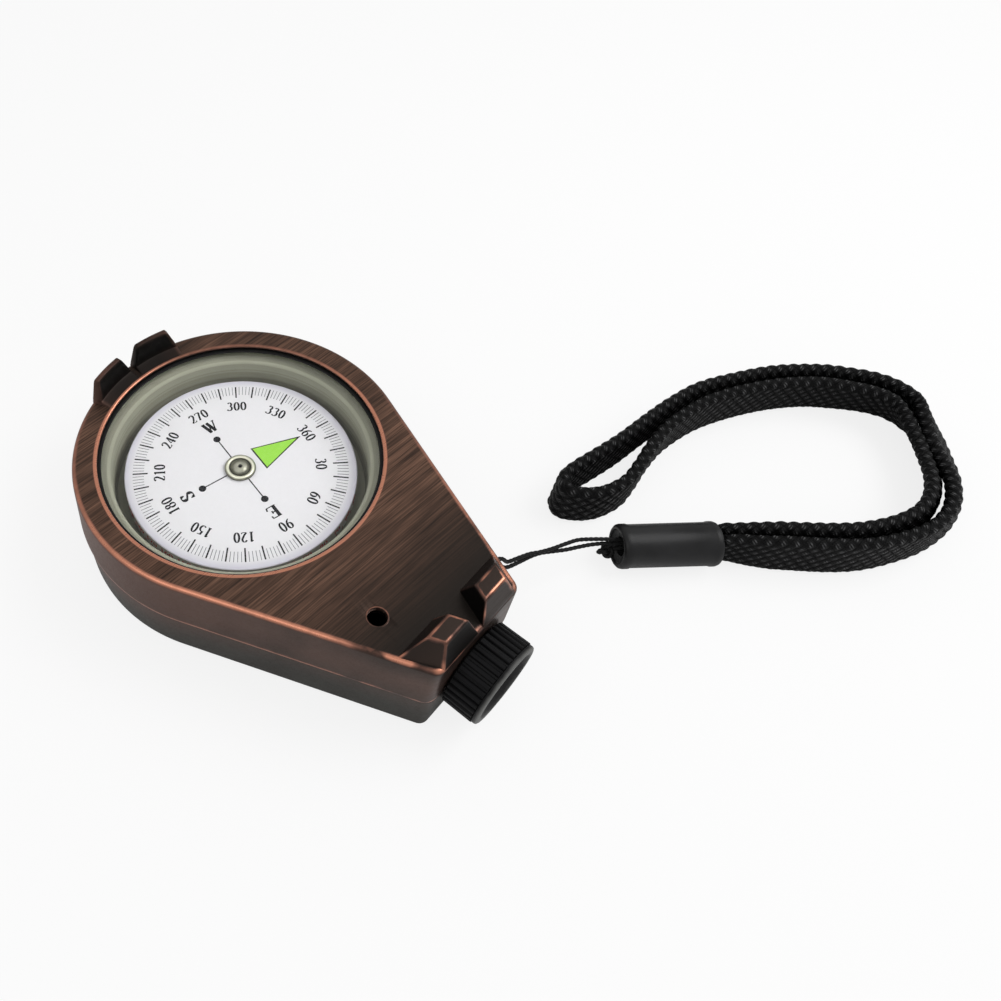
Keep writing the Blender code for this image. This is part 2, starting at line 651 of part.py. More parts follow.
def make_capsule():
    """Cup, window, gasket, cushion, diaphragm with its ring and the filler plug."""
    inner = CUP_BORE_RADIUS
    recess = DIAPHRAGM_RADIUS + FIT_GAP
    recess_top = CUP_BOTTOM + DIAPHRAGM_RING_THICKNESS + DIAPHRAGM_THICKNESS + 2 * FIT_GAP
    cup = turned("capsule_cup", [
        (0, CUP_FLOOR_TOP), (inner, CUP_FLOOR_TOP), (inner, CUP_TOP), (CUP_RADIUS, CUP_TOP),
        (CUP_RADIUS, CUP_BOTTOM), (recess, CUP_BOTTOM), (recess, recess_top), (0, recess_top),
    ], LARGE_STEPS, parts, "clear_plastic")
    floor_low = CUP_BOTTOM - CUT_MARGIN
    floor_high = CUP_FLOOR_TOP + CUT_MARGIN
    port = rod("port", PORT_RADIUS, floor_low, floor_high, (PORT_X, PORT_Y), cutters, steps=PORT_STEPS)
    boolean(cup, port)
    filler_reach = CUSHION_INNER_RADIUS - FILLER_INSET
    filler_angle = math.radians(FILLER_ANGLE)
    filler_place = (filler_reach * math.cos(filler_angle), filler_reach * math.sin(filler_angle))
    boolean(cup, rod("filler_hole", FILLER_RADIUS + FIT_GAP, floor_low, floor_high, filler_place, cutters))
    rod("filler_plug", FILLER_RADIUS, CUP_BOTTOM, CUP_FLOOR_TOP, filler_place, parts, "black_rubber")

    window_bottom = WINDOW_TOP - WINDOW_THICKNESS
    rod("window", CUP_RADIUS, window_bottom, WINDOW_TOP, (0, 0), parts, "clear_plastic", LARGE_STEPS)
    ring("window_gasket", GASKET_INNER_RADIUS, CUP_RADIUS, GASKET_TOP - GASKET_THICKNESS, GASKET_TOP,
         LARGE_STEPS, "black_rubber")
    ring("capsule_cushion", CUSHION_INNER_RADIUS, CUSHION_RADIUS, CUSHION_BOTTOM,
         CUSHION_BOTTOM + CUSHION_THICKNESS, LARGE_STEPS, "grey_foam")
    ring("diaphragm_ring", DIAPHRAGM_RADIUS - DIAPHRAGM_RING_WIDTH, DIAPHRAGM_RADIUS, CUP_BOTTOM,
         CUP_BOTTOM + DIAPHRAGM_RING_THICKNESS, TURN_STEPS, "brass")
    sheet_bottom = CUP_BOTTOM + DIAPHRAGM_RING_THICKNESS + FIT_GAP
    rod("diaphragm", DIAPHRAGM_RADIUS, sheet_bottom, sheet_bottom + DIAPHRAGM_THICKNESS, (0, 0), parts,
        "black_rubber", TURN_STEPS)


def ring(name, inner, outer, low, high, steps, finish):
    """Flat ring about the card axis."""
    return turned(name, [(inner, high), (outer, high), (outer, low), (inner, low)], steps, parts, finish)


def make_pivot():
    """Post on the cup's floor and the pointed pin that carries the card."""
    seat = POST_TOP - PIN_SEAT
    hole = PIN_RADIUS + FIT_GAP
    turned("pivot_post", [
        (0, seat), (hole, seat), (hole, POST_TOP), (POST_RADIUS, POST_TOP),
        (POST_RADIUS, POST_BOTTOM + POST_FOOT_HEIGHT), (POST_FOOT_RADIUS, POST_BOTTOM + POST_FOOT_HEIGHT),
        (POST_FOOT_RADIUS, POST_BOTTOM), (0, POST_BOTTOM),
    ], SMALL_STEPS, parts, "brass")
    pin_bottom = seat + FIT_GAP
    turned("pivot_pin", [
        (0, PIN_TIP), (PIN_RADIUS, PIN_TIP - PIN_TAPER), (PIN_RADIUS, pin_bottom), (0, pin_bottom),
    ], SMALL_STEPS, parts, "steel")


def make_card():
    """Card with its skirt, the hub, the jewel and the magnet; all turn about the pivot."""
    skirt_bottom = CARD_HEIGHT - SKIRT_DEPTH
    hole = HUB_STEM_RADIUS + FIT_GAP
    skirt_inner = CARD_RADIUS - SKIRT_WALL
    turned("compass_card", [
        (hole, CARD_HEIGHT), (CARD_RADIUS, CARD_HEIGHT), (CARD_RADIUS, skirt_bottom),
        (skirt_inner, skirt_bottom), (skirt_inner, CARD_BOTTOM), (hole, CARD_BOTTOM),
    ], LARGE_STEPS, parts, "white_card")

    rim_top = HUB_SEAT + HUB_FLANGE + HUB_RIM_HEIGHT
    groove = HUB_SEAT + HUB_FLANGE - HUB_GROOVE_DEPTH
    rim_inner = HUB_RADIUS - HUB_RIM_WIDTH
    cap_top = HUB_SEAT + HUB_FLANGE + HUB_CAP_HEIGHT
    turned("card_hub", [
        (0, cap_top), (HUB_CAP_TOP_RADIUS, cap_top - HUB_EDGE), (HUB_CAP_RADIUS, groove), (rim_inner, groove),
        (rim_inner + 2 * HUB_EDGE, rim_top), (HUB_RADIUS - HUB_EDGE, rim_top),
        (HUB_RADIUS, rim_top - HUB_EDGE), (HUB_RADIUS, HUB_SEAT),
        (HUB_STEM_RADIUS, HUB_SEAT), (HUB_STEM_RADIUS, HUB_BOTTOM), (HUB_BORE_RADIUS, HUB_BOTTOM),
        (HUB_BORE_RADIUS, HUB_BORE_TOP), (0, HUB_BORE_TOP),
    ], SMALL_STEPS, parts, "brass")

    jewel_radius = HUB_BORE_RADIUS - FIT_GAP
    jewel_bottom = JEWEL_TOP - JEWEL_HEIGHT
    turned("jewel_bearing", [
        (0, JEWEL_TOP), (jewel_radius, JEWEL_TOP), (jewel_radius, jewel_bottom),
        (JEWEL_CUP_RADIUS, jewel_bottom), (0, jewel_bottom + JEWEL_CUP_DEPTH),
    ], SMALL_STEPS, parts, "ruby")

    magnet_top = CARD_BOTTOM - FIT_GAP
    ring("card_magnet", HUB_STEM_RADIUS + FIT_GAP, MAGNET_RADIUS, magnet_top - MAGNET_THICKNESS, magnet_top,
         TURN_STEPS, "ferrite")


def make_sight_plate():
    """Clear plate that stands behind the partition between floor and roof."""
    near = -POCKET_FRONT - FIT_GAP
    box("sight_plate", (-PLATE_WIDTH / 2, near - PLATE_THICKNESS, FLOOR + FIT_GAP),
        (PLATE_WIDTH / 2, near, CASE_HEIGHT - ROOF - FIT_GAP), parts, "glass")


def make_eyepiece():
    """Guide tube in the rear wall, sliding barrel with its lens, and the knurled ring."""
    flange_outer = POCKET_BACK - FIT_GAP
    flange_inner = flange_outer - FLANGE_THICKNESS
    collar_inner = TAIL_REACH + FIT_GAP
    collar_outer = collar_inner + COLLAR_THICKNESS
    tube_end = TAIL_REACH + TUBE_REACH
    along_eyepiece(turned("eyepiece_tube", [
        (TUBE_BORE_RADIUS, tube_end), (TUBE_RADIUS, tube_end), (TUBE_RADIUS, collar_outer),
        (COLLAR_RADIUS, collar_outer), (COLLAR_RADIUS, collar_inner), (TUBE_RADIUS, collar_inner),
        (TUBE_RADIUS, flange_outer), (FLANGE_RADIUS, flange_outer), (FLANGE_RADIUS, flange_inner),
        (TUBE_BORE_RADIUS, flange_inner),
    ], TURN_STEPS, parts, "black_plastic"))

    bore = LENS_SEAT_RADIUS - LENS_SEAT_STEP
    barrel_start = BARREL_END - BARREL_LENGTH
    seat = BARREL_END - LENS_SEAT_DEPTH
    along_eyepiece(turned("lens_barrel", [
        (LENS_SEAT_RADIUS, BARREL_END), (BARREL_RADIUS, BARREL_END), (BARREL_RADIUS, barrel_start),
        (bore, barrel_start), (bore, seat), (LENS_SEAT_RADIUS, seat),
    ], TURN_STEPS, parts, "black_plastic"))

    lens_radius = LENS_SEAT_RADIUS - FIT_GAP
    lens_back = seat + FIT_GAP
    bulge = (LENS_THICKNESS - LENS_EDGE) / 2
    middle = lens_back + LENS_THICKNESS / 2
    outer_face = []
    inner_face = []
    for step in range(4):
        share = step / 3
        rise = bulge * (1 - share * share) + LENS_EDGE / 2
        outer_face.append((lens_radius * share, middle + rise))
        inner_face.append((lens_radius * share, middle - rise))
    along_eyepiece(turned("eye_lens", outer_face + inner_face[::-1], TURN_STEPS, parts, "glass"))

    retainer_end = BARREL_END - RETAINER_INSET
    retainer_start = retainer_end - RETAINER_THICKNESS
    along_eyepiece(ring("lens_retainer", lens_radius - RETAINER_WIDTH, lens_radius, retainer_start, retainer_end,
                        TURN_STEPS, "black_plastic"))

    make_focus_ring(collar_outer)


def make_focus_ring(collar_outer):
    """Ribbed ring with a smooth band at its end, bored to run on the tube."""
    outline = []
    root = RING_RADIUS - RING_RIB_HEIGHT
    for rib in range(RING_RIBS):
        for share, radius in ((0.0, root), (0.28, root), (0.45, RING_RADIUS), (0.83, RING_RADIUS)):
            angle = 2 * math.pi * (rib + share) / RING_RIBS
            outline.append((radius * math.cos(angle), radius * math.sin(angle)))
    rib_end = RING_END - RING_BAND
    knurl = stacked_outlines("focus_ring", [(RING_START, outline), (rib_end, outline)], parts, "black_plastic")
    along_eyepiece(knurl)
    band_radius = RING_RADIUS - RING_BAND_INSET
    band_start = rib_end - JOIN_MARGIN
    edge = RING_BAND_EDGE
    band = along_eyepiece(turned("ring_band", [
        (0, RING_END), (band_radius - edge, RING_END), (band_radius, RING_END - edge), (band_radius, band_start),
        (0, band_start),
    ], TURN_STEPS, cutters))
    boolean(knurl, band, "UNION")
    mouth = RING_MOUTH_RADIUS
    mouth_end = collar_outer + 2 * FIT_GAP
    bore = TUBE_RADIUS + RUNNING_GAP
    bore_end = RING_END - RING_END_WALL
    opening = TUBE_BORE_RADIUS + FIT_GAP
    near = RING_START - CUT_MARGIN
    far = RING_END + CUT_MARGIN
    bore_cutter = along_eyepiece(turned("ring_bore", [
        (0, far), (opening + RING_FUNNEL, far), (opening + RING_FUNNEL, RING_END),
        (opening, bore_end), (bore, bore_end), (bore, mouth_end), (mouth, mouth_end),
        (mouth, near), (0, near),
    ], TURN_STEPS, cutters))
    boolean(knurl, bore_cutter)


def on_side(outward, forward, height):
    """World point at a distance outward from the right side wall's top edge line."""
    point = SIDE_NORMAL * (HEAD_RADIUS + outward) + SIDE_FORWARD * forward
    return Vector((point.x, point.y, height))


def wall_offset(height):
    """How far the drafted upper wall stands outside its top edge at a height."""
    return UPPER_DRAFT * (CASE_HEIGHT - TOP_ROUNDING - height) / (CASE_HEIGHT - TOP_ROUNDING - PARTING_HEIGHT)


def eye_feet():
    """The two straight holes in the wall that take the lanyard eye's legs."""
    wall = wall_offset(EYE_HEIGHT)
    feet = []
    for side in (-1, 1):
        forward = EYE_PLACE + side * EYE_RADIUS
        feet.append([on_side(wall - EYE_DEPTH - FIT_GAP, forward, EYE_HEIGHT),
                     on_side(wall + CUT_MARGIN, forward, EYE_HEIGHT)])
    return feet


def wire_curve(name, points, radius, collection, finish=None, resolution=2):
    """Round wire or cord through points, with filled ends."""
    curve = bpy.data.curves.new(name, "CURVE")
    curve.dimensions = "3D"
    curve.fill_mode = "FULL"
    curve.bevel_depth = radius * MM
    curve.bevel_resolution = resolution
    curve.use_fill_caps = True
    spline = curve.splines.new("POLY")
    spline.points.add(len(points) - 1)
    for target, point in zip(spline.points, points):
        target.co = (point[0] * MM, point[1] * MM, point[2] * MM, 1)
    return add_object(name, curve, collection, finish)


def curve_to_mesh(obj):
    """Replace a curve object by a mesh object with welded caps."""
    graph = bpy.context.evaluated_depsgraph_get()
    mesh = bpy.data.meshes.new_from_object(obj.evaluated_get(graph))
    bm = bmesh.new()
    bm.from_mesh(mesh)
    bmesh.ops.remove_doubles(bm, verts=bm.verts, dist=0.000001)
    bm.to_mesh(mesh)
    bm.free()
    name = obj.name
    collection = obj.users_collection[0]
    matrix = obj.matrix_world.copy()
    bpy.data.objects.remove(obj)
    new = add_object(name, mesh, collection)
    new.matrix_world = matrix
    return new


def make_lanyard_eye():
    """Half ring of wire whose two legs stand in the wall."""
    wall = wall_offset(EYE_HEIGHT)
    points = [on_side(wall - EYE_DEPTH, EYE_PLACE - EYE_RADIUS, EYE_HEIGHT)]
    for step in range(EYE_STEPS + 1):
        angle = math.pi * (step / EYE_STEPS - 0.5)
        points.append(on_side(wall + EYE_RADIUS * math.cos(angle), EYE_PLACE + EYE_RADIUS * math.sin(angle),
                              EYE_HEIGHT))
    points.append(on_side(wall - EYE_DEPTH, EYE_PLACE + EYE_RADIUS, EYE_HEIGHT))
    wire_curve("lanyard_eye", points, EYE_WIRE_RADIUS, parts, "steel")


def smooth_points(route, steps, bend_weight):
    """Points on a smooth curve through the route, closer together where it bends."""
    fine = []
    last = len(route) - 1
    for index in range(last):
        before = Vector(route[max(index - 1, 0)])
        start = Vector(route[index])
        end = Vector(route[index + 1])
        after = Vector(route[min(index + 2, last)])
        for step in range(12):
            t = step / 12
            fine.append(0.5 * ((2 * start) + (end - before) * t
                               + (2 * before - 5 * start + 4 * end - after) * t ** 2
                               + (3 * start - before - 3 * end + after) * t ** 3))
    fine.append(Vector(route[last]))
    measure = [0.0]
    for index in range(1, len(fine)):
        run = fine[index].xyz - fine[index - 1].xyz
        turn = 0.0
        if index < len(fine) - 1:
            turn = run.angle(fine[index + 1].xyz - fine[index].xyz)
        measure.append(measure[-1] + run.length + bend_weight * turn)
    points = []
    place = 0
    for step in range(steps + 1):
        goal = measure[-1] * step / steps
        while place < len(measure) - 2 and measure[place + 1] < goal:
            place += 1
        share = (goal - measure[place]) / (measure[place + 1] - measure[place])
        points.append(fine[place].lerp(fine[place + 1], min(share, 1.0)))
    return points


def make_strap():
    """Thin cord through the eye, its knot, the sleeve and the flat braid, squeezed at the sleeve."""
    cord = smooth_points(CORD_ROUTE, CORD_STEPS, CORD_BEND_WEIGHT)
    wire_curve("lanyard_cord", cord, CORD_RADIUS, parts, "black_braid")

    bm = bmesh.new()
    bmesh.ops.create_uvsphere(bm, u_segments=16, v_segments=8, radius=KNOT_RADIUS * MM)
    mesh = bpy.data.meshes.new("cord_knot")
    bm.to_mesh(mesh)
    bm.free()
    mesh.shade_smooth()
    knot = add_object("cord_knot", mesh, parts, "black_braid")
    knot.location = Vector(KNOT_CENTRE) * MM

    edge = SLEEVE_RADIUS - SLEEVE_ROUNDING
    sleeve = turned("cord_sleeve", [
        (0, SLEEVE_LENGTH), (edge, SLEEVE_LENGTH), (SLEEVE_RADIUS, SLEEVE_LENGTH - SLEEVE_ROUNDING),
        (SLEEVE_RADIUS, SLEEVE_ROUNDING), (edge, 0), (SLEEVE_MOUTH_RADIUS, 0),
        (SLEEVE_MOUTH_RADIUS, SLEEVE_MOUTH_DEPTH), (0, SLEEVE_MOUTH_DEPTH),
    ], TURN_STEPS, parts, "black_plastic")
    sleeve.rotation_euler = (0, math.radians(90), math.radians(SLEEVE_HEADING))
    sleeve.location = (SLEEVE_START[0] * MM, SLEEVE_START[1] * MM, SLEEVE_RADIUS * MM)

    route = []
    for x, y, lean in STRAP_ROUTE:
        turn = math.radians(abs(lean))
        level = STRAP_WIDTH / 2 * math.cos(turn) + STRAP_THICKNESS / 2 * math.sin(turn) + STRAP_LIFT
        route.append((x, y, level, lean))
    points = smooth_points(route, STRAP_STEPS, STRAP_BEND_WEIGHT)
    strap = wire_curve("wrist_strap", points, STRAP_THICKNESS / 2, parts, "black_braid")
    strap.data.extrude = (STRAP_WIDTH - STRAP_THICKNESS) / 2 * MM
    strap.data.twist_mode = "Z_UP"
    for target, point in zip(strap.data.splines[0].points, points):
        target.tilt = -math.radians(point[3])
        reach = min((point.xyz - points[0].xyz).length, (point.xyz - points[-1].xyz).length)
        share = min(reach / STRAP_SQUEEZE_LENGTH, 1)
        target.radius = STRAP_SQUEEZE + (1 - STRAP_SQUEEZE) * share


clear_scene()
parts = make_collection("pocket_compass")
cutters = make_collection("cutters")
sight_slot, eyepiece_hole = make_shared_cutters()
make_upper_case()
make_lower_case()
make_screws()
make_capsule()
make_pivot()
make_card()
make_sight_plate()
make_eyepiece()
make_lanyard_eye()
make_strap()
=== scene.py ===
"""Looks of a pocket sighting compass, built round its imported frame.

The classes hold sizes in millimetres and angles in degrees, and build meshes in metres. +Y points
to the front sights, +X to the lanyard eye and +Z up from the flat base.
"""

from __future__ import annotations

import logging
from dataclasses import dataclass, field
from enum import Enum
from functools import cache
from math import cos, degrees, dist, pi, radians, sin
from typing import Callable, Sequence

import bmesh
import bpy
import numpy as np
from mathutils import Matrix, Vector


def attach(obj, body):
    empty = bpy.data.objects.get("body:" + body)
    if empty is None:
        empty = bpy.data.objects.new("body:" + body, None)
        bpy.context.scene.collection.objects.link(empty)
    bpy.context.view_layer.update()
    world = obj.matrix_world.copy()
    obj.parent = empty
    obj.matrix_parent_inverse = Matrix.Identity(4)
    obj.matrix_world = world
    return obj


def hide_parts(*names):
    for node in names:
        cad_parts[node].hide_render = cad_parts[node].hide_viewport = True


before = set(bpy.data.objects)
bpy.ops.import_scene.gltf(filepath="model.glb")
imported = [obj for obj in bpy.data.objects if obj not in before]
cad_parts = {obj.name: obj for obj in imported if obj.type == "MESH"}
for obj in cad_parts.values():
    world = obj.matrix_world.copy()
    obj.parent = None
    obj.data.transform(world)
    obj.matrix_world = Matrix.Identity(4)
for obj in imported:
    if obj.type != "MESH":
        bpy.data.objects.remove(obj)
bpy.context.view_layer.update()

LOG = logging.getLogger("compass")
MM = 0.001
Colour = tuple[float, float, float]
Point2 = tuple[float, float]
Point3 = tuple[float, float, float]
Place = Callable[[float, float, float], Point3]
Loop = tuple[list[Point2], Sequence[float], Sequence[float]]
Object = bpy.types.Object
Node = bpy.types.Node
Socket = bpy.types.NodeSocket
Sockets = bpy.types.bpy_prop_collection
Tree = bpy.types.NodeTree
NO_TURN = Matrix.Identity(4)


class Body(Enum):
    """Bodies of the frame that a piece can ride on."""

    CASE = "case"
    CARD = "card"
    RING = "ring"


class Side(Enum):
    """Sides on which an ear can stand, with the sign of X there."""

    LEFT = -1
    RIGHT = 1


@dataclass
class Draft:
    """Vertices, faces and surface marks of one piece while it is built, in millimetres.

    wear marks bare edges and painted highlights; soot, black patina and painted shade.
    """

    points: list[Point3] = field(default_factory=list)
    faces: list[tuple[int, ...]] = field(default_factory=list)
    wear: list[float] = field(default_factory=list)
    soot: list[float] = field(default_factory=list)

    def ring(self, points: Sequence[Point3], wear: float | Sequence[float] = 0.0,
             soot: float | Sequence[float] = 0.0) -> list[int]:
        """Add vertices.

        Args:
            points: Places in millimetres.
            wear: One value, or one for each point.
            soot: One value, or one for each point.

        Returns:
            The new vertices' indices.
        """
        first = len(self.points)
        self.points.extend(points)
        for marks, value in ((self.wear, wear), (self.soot, soot)):
            marks.extend([value] * len(points) if isinstance(value, (int, float)) else value)
        return list(range(first, len(self.points)))

    def bridge(self, low: Sequence[int], high: Sequence[int]) -> None:
        """Join two closed rings; a ring of one vertex is a pole.

        Args:
            low: Indices of the first ring.
            high: Indices of the second ring.
        """
        count = max(len(low), len(high))
        for index in range(count):
            following = (index + 1) % count
            if len(low) == 1:
                self.faces.append((low[0], high[following], high[index]))
            elif len(high) == 1:
                self.faces.append((low[index], low[following], high[0]))
            else:
                self.faces.append((low[index], low[following], high[following], high[index]))

    def loft(self, rings: Sequence[Sequence[int]], closed: bool = False) -> Draft:
        """Join rings in order, and close the ends or join the last to the first.

        Args:
            rings: Indices of each ring.
            closed: Whether the last ring joins the first.

        Returns:
            This draft.
        """
        for low, high in zip(rings, rings[1:]):
            self.bridge(low, high)
        if closed:
            self.bridge(rings[-1], rings[0])
            return self
        for ring in (rings[0], rings[-1]):
            if len(ring) > 2:
                self.faces.append(tuple(ring))
        return self

    def stack(self, levels: Sequence[tuple], closed: bool = False) -> Draft:
        """Loft plan outlines that lie at their heights.

        Args:
            levels: For each one its plan, its height and, where they aren't 0, its wear and soot.
            closed: Whether the last one joins the first.

        Returns:
            This draft.
        """
        rings = [self.ring([(x, y, height) for x, y in plan], *marks) for plan, height, *marks in levels]
        return self.loft(rings, closed)

    def turn(self, profile: Sequence[tuple[float, ...]], steps: int) -> Draft:
        """Turn a profile about Z.

        Args:
            profile: Radius, height and, where they aren't 0, wear and soot.
            steps: Facets round the axis.

        Returns:
            This draft.
        """
        rings = []
        for radius, height, *marks in profile:
            angles = [2 * pi * step / steps for step in range(steps if radius else 1)]
            points = [(radius * cos(a), radius * sin(a), height) for a in angles]
            rings.append(self.ring(points, *marks))
        return self.loft(rings, closed=profile[0][0] > 0)

    def column(self, radius: float, low: float, high: float, steps: int) -> Draft:
        """Add a cylinder on Z."""
        return self.turn([(0, high), (radius, high), (radius, low), (0, low)], steps)

    def finish(self, name: str, place: Matrix = NO_TURN, sharp: float = 35.0) -> Object:
        """Make the draft one smooth-shaded object at the origin.

        Args:
            name: The piece's name.
            place: Matrix that is applied to the mesh.
            sharp: Angle above which an edge stays sharp.

        Returns:
            The new object.
        """
        mesh = bpy.data.meshes.new(name)
        mesh.from_pydata([Vector(point) * MM for point in self.points], [], self.faces)
        for mark, values in (("wear", self.wear), ("soot", self.soot)):
            attribute = mesh.attributes.new(mark, "FLOAT", "POINT")
            attribute.data.foreach_set("value", np.array(values, np.float32))
        bm = bmesh.new()
        bm.from_mesh(mesh)
        bmesh.ops.recalc_face_normals(bm, faces=bm.faces)
        bm.to_mesh(mesh)
        bm.free()
        mesh.transform(place)
        mesh.shade_smooth()
        mesh.set_sharp_from_angle(angle=radians(sharp))
        obj = bpy.data.objects.new(name, mesh)
        bpy.context.scene.collection.objects.link(obj)
        return obj


def flatten(obj: Object) -> Object:
    """Turn an object with modifiers into a plain mesh.

    Args:
        obj: The object.

    Returns:
        The same object with its evaluated mesh and no modifier.
    """
    graph = bpy.context.evaluated_depsgraph_get()
    mesh = bpy.data.meshes.new_from_object(obj.evaluated_get(graph), depsgraph=graph)
    obj.modifiers.clear()
    obj.data = mesh
    return obj


def cut(obj: Object, tools: Sequence[Object]) -> Object:
    """Take tools out of a piece and keep broad faces flat.

    Args:
        obj: The piece.
        tools: Cutters, which are removed afterwards.

    Returns:
        The cut piece.
    """
    for tool in tools:
        modifier = obj.modifiers.new(tool.name, "BOOLEAN")
        modifier.object = tool
        modifier.solver = "EXACT"
    weighted = obj.modifiers.new("broad faces", "WEIGHTED_NORMAL")
    weighted.keep_sharp = True
    flatten(obj)
    for tool in tools:
        bpy.data.objects.remove(tool)
    return obj


def dress(obj: Object, finish: Finish | None, body: Body, replaces: Sequence[str] = ()) -> Object:
    """Give a piece its finish and its place in the frame.

    Args:
        obj: The piece.
        finish: Its finish, or None where its copies already have one.
        body: The body that it rides on.
        replaces: Frame nodes that it stands for.

    Returns:
        The piece.
    """
    if finish:
        obj.data.materials.clear()
        obj.data.materials.append(finish.material(obj.name))
    if replaces:
        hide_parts(*replaces)
    LOG.info("piece %s on %s", obj.name, body.value)
    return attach(obj, body.value)


def paint_node(node: str, finish: Finish) -> None:
    """Give a frame node that stays a finish of its own."""
    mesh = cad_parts[node].data
    mesh.materials.clear()
    mesh.materials.append(finish.material(node))


def arc(centre: Point2, radius: Point2, start: float, end: float, steps: int) -> list[Point2]:
    """Points on an ellipse's arc.

    Args:
        centre: Its centre.
        radius: Its half widths.
        start: First angle in degrees.
        end: Last angle in degrees.
        steps: Number of steps between them.

    Returns:
        The points, ends included.
    """
    points = []
    for step in range(steps + 1):
        angle = radians(start + (end - start) * step / steps)
        points.append((centre[0] + radius[0] * cos(angle), centre[1] + radius[1] * sin(angle)))
    return points


def blend_points(first: Sequence[Point2], second: Sequence[Point2], share: float) -> list[Point2]:
    """Points part of the way between two equal lists."""
    return [(a[0] + (b[0] - a[0]) * share, a[1] + (b[1] - a[1]) * share) for a, b in zip(first, second)]


def round_over(radius: float, angle: float) -> Point2:
    """How far a rounded edge has moved inward and upward at an angle from its wall."""
    turn = radians(angle)
    return radius * (1 - cos(turn)), radius * sin(turn)


def placed(x: float, y: float) -> Matrix:
    """Matrix that moves a shape to its place on the plan."""
    return Matrix.Translation(Vector((x, y, 0)) * MM)


def rectangle(left: float, right: float, back: float, front: float) -> list[Point2]:
    """Corners of a rectangle on the plan."""
    return [(left, back), (right, back), (right, front), (left, front)]


class Graph:
    """Short calls that add and join the nodes of one tree."""

    def __init__(self, tree: Tree) -> None:
        """Work on a tree."""
        self.tree = tree

    def add(self, kind: str, inputs: dict | None = None, **settings: object) -> Node:
        """Add a node.

        Args:
            kind: The node's type.
            inputs: Values or sockets by input name or index.
            **settings: Properties of the node.

        Returns:
            The node.
        """
        node = self.tree.nodes.new(kind)
        for key, value in settings.items():
            setattr(node, key, value)
        for key, value in (inputs or {}).items():
            if isinstance(value, Socket):
                self.tree.links.new(value, node.inputs[key])
            else:
                node.inputs[key].default_value = value
        return node

    def math(self, operation: str, *values: object) -> Socket:
        """Result of a math node."""
        return self.add("ShaderNodeMath", dict(enumerate(values)), operation=operation).outputs[0]

    def times(self, first: object, second: object) -> Socket:
        """Product of two values."""
        return self.math("MULTIPLY", first, second)

    def vector(self, operation: str, *values: object) -> Socket:
        """Result of a vector math node."""
        node = self.add("ShaderNodeVectorMath", dict(enumerate(values)), operation=operation)
        return node.outputs["Value" if operation == "LENGTH" else "Vector"]

    def span(self, value: object, low: float, high: float, start: float = 0.0, end: float = 1.0) -> Socket:
        """Value mapped from one range to another and held inside it."""
        return self.add("ShaderNodeMapRange", {0: value, 1: low, 2: high, 3: start, 4: end}).outputs[0]

    def mix(self, share: object, first: object, second: object) -> Socket:
        """Colour between two colours."""
        first = first if isinstance(first, Socket) else (*first, 1.0)
        second = second if isinstance(second, Socket) else (*second, 1.0)
        return self.add("ShaderNodeMix", {0: share, 6: first, 7: second}, data_type="RGBA").outputs[2]

    def noise(self, vector: object, scale: object, detail: float = 2.0, roughness: float = 0.5) -> Socket:
        """Noise value at a vector."""
        inputs = {"Vector": vector, "Scale": scale, "Detail": detail, "Roughness": roughness}
        return self.add("ShaderNodeTexNoise", inputs).outputs["Fac"]

    def attribute(self, name: str) -> Socket:
        """Value of a mesh attribute."""
        return self.add("ShaderNodeAttribute", attribute_name=name).outputs["Fac"]

    def bump(self, height: object, distance: float, strength: float) -> Socket:
        """Normal of a height in metres."""
        inputs = {"Height": height, "Distance": distance, "Strength": strength}
        return self.add("ShaderNodeBump", inputs).outputs["Normal"]

    def group(self, tree: Tree, inputs: dict) -> Sockets:
        """Outputs of a group's node."""
        return self.add("ShaderNodeGroup", inputs, node_tree=tree).outputs

    def join(self, socket: Socket, target: Socket) -> None:
        """Join an output to an input."""
        self.tree.links.new(socket, target)

    def reach(self, distance: object, limits: Point2, start: float = 0.0, end: float = 1.0) -> Socket:
        """Span between two limits in millimetres."""
        return self.span(distance, limits[0] * MM, limits[1] * MM, start, end)

    def axes(self, vector: object) -> list[Socket]:
        """Values of a vector along X, Y and Z."""
        return list(self.add("ShaderNodeSeparateXYZ", {0: vector}).outputs)

    def finished(self, shape: Node, given: Sockets, out: Sockets) -> Tree:
        """End a geometry tree by setting the given finish on a shape."""
        inputs = {"Geometry": shape.outputs[0], "Material": given["Finish"]}
        self.join(self.add("GeometryNodeSetMaterial", inputs).outputs[0], out[0])
        return self.tree

    def seen(self) -> Socket:
        """1 for rays that come from the camera, through glass too."""
        light = self.add("ShaderNodeLightPath").outputs
        return self.math("MAXIMUM", light["Is Camera Ray"], light["Is Transmission Ray"])


class Surface(Graph):
    """Nodes of one material, with its Principled shader and its Object coordinates."""

    def __init__(self, tree: Tree) -> None:
        """Work on a material's tree."""
        super().__init__(tree)
        self.shader = tree.nodes["Principled BSDF"]
        self.place = self.add("ShaderNodeTexCoord").outputs["Object"]

    def feed(self, **sockets: Socket) -> None:
        """Join sockets to the shader's inputs, with _ for a space in their names."""
        for name, socket in sockets.items():
            self.join(socket, self.shader.inputs[name.replace("_", " ")])


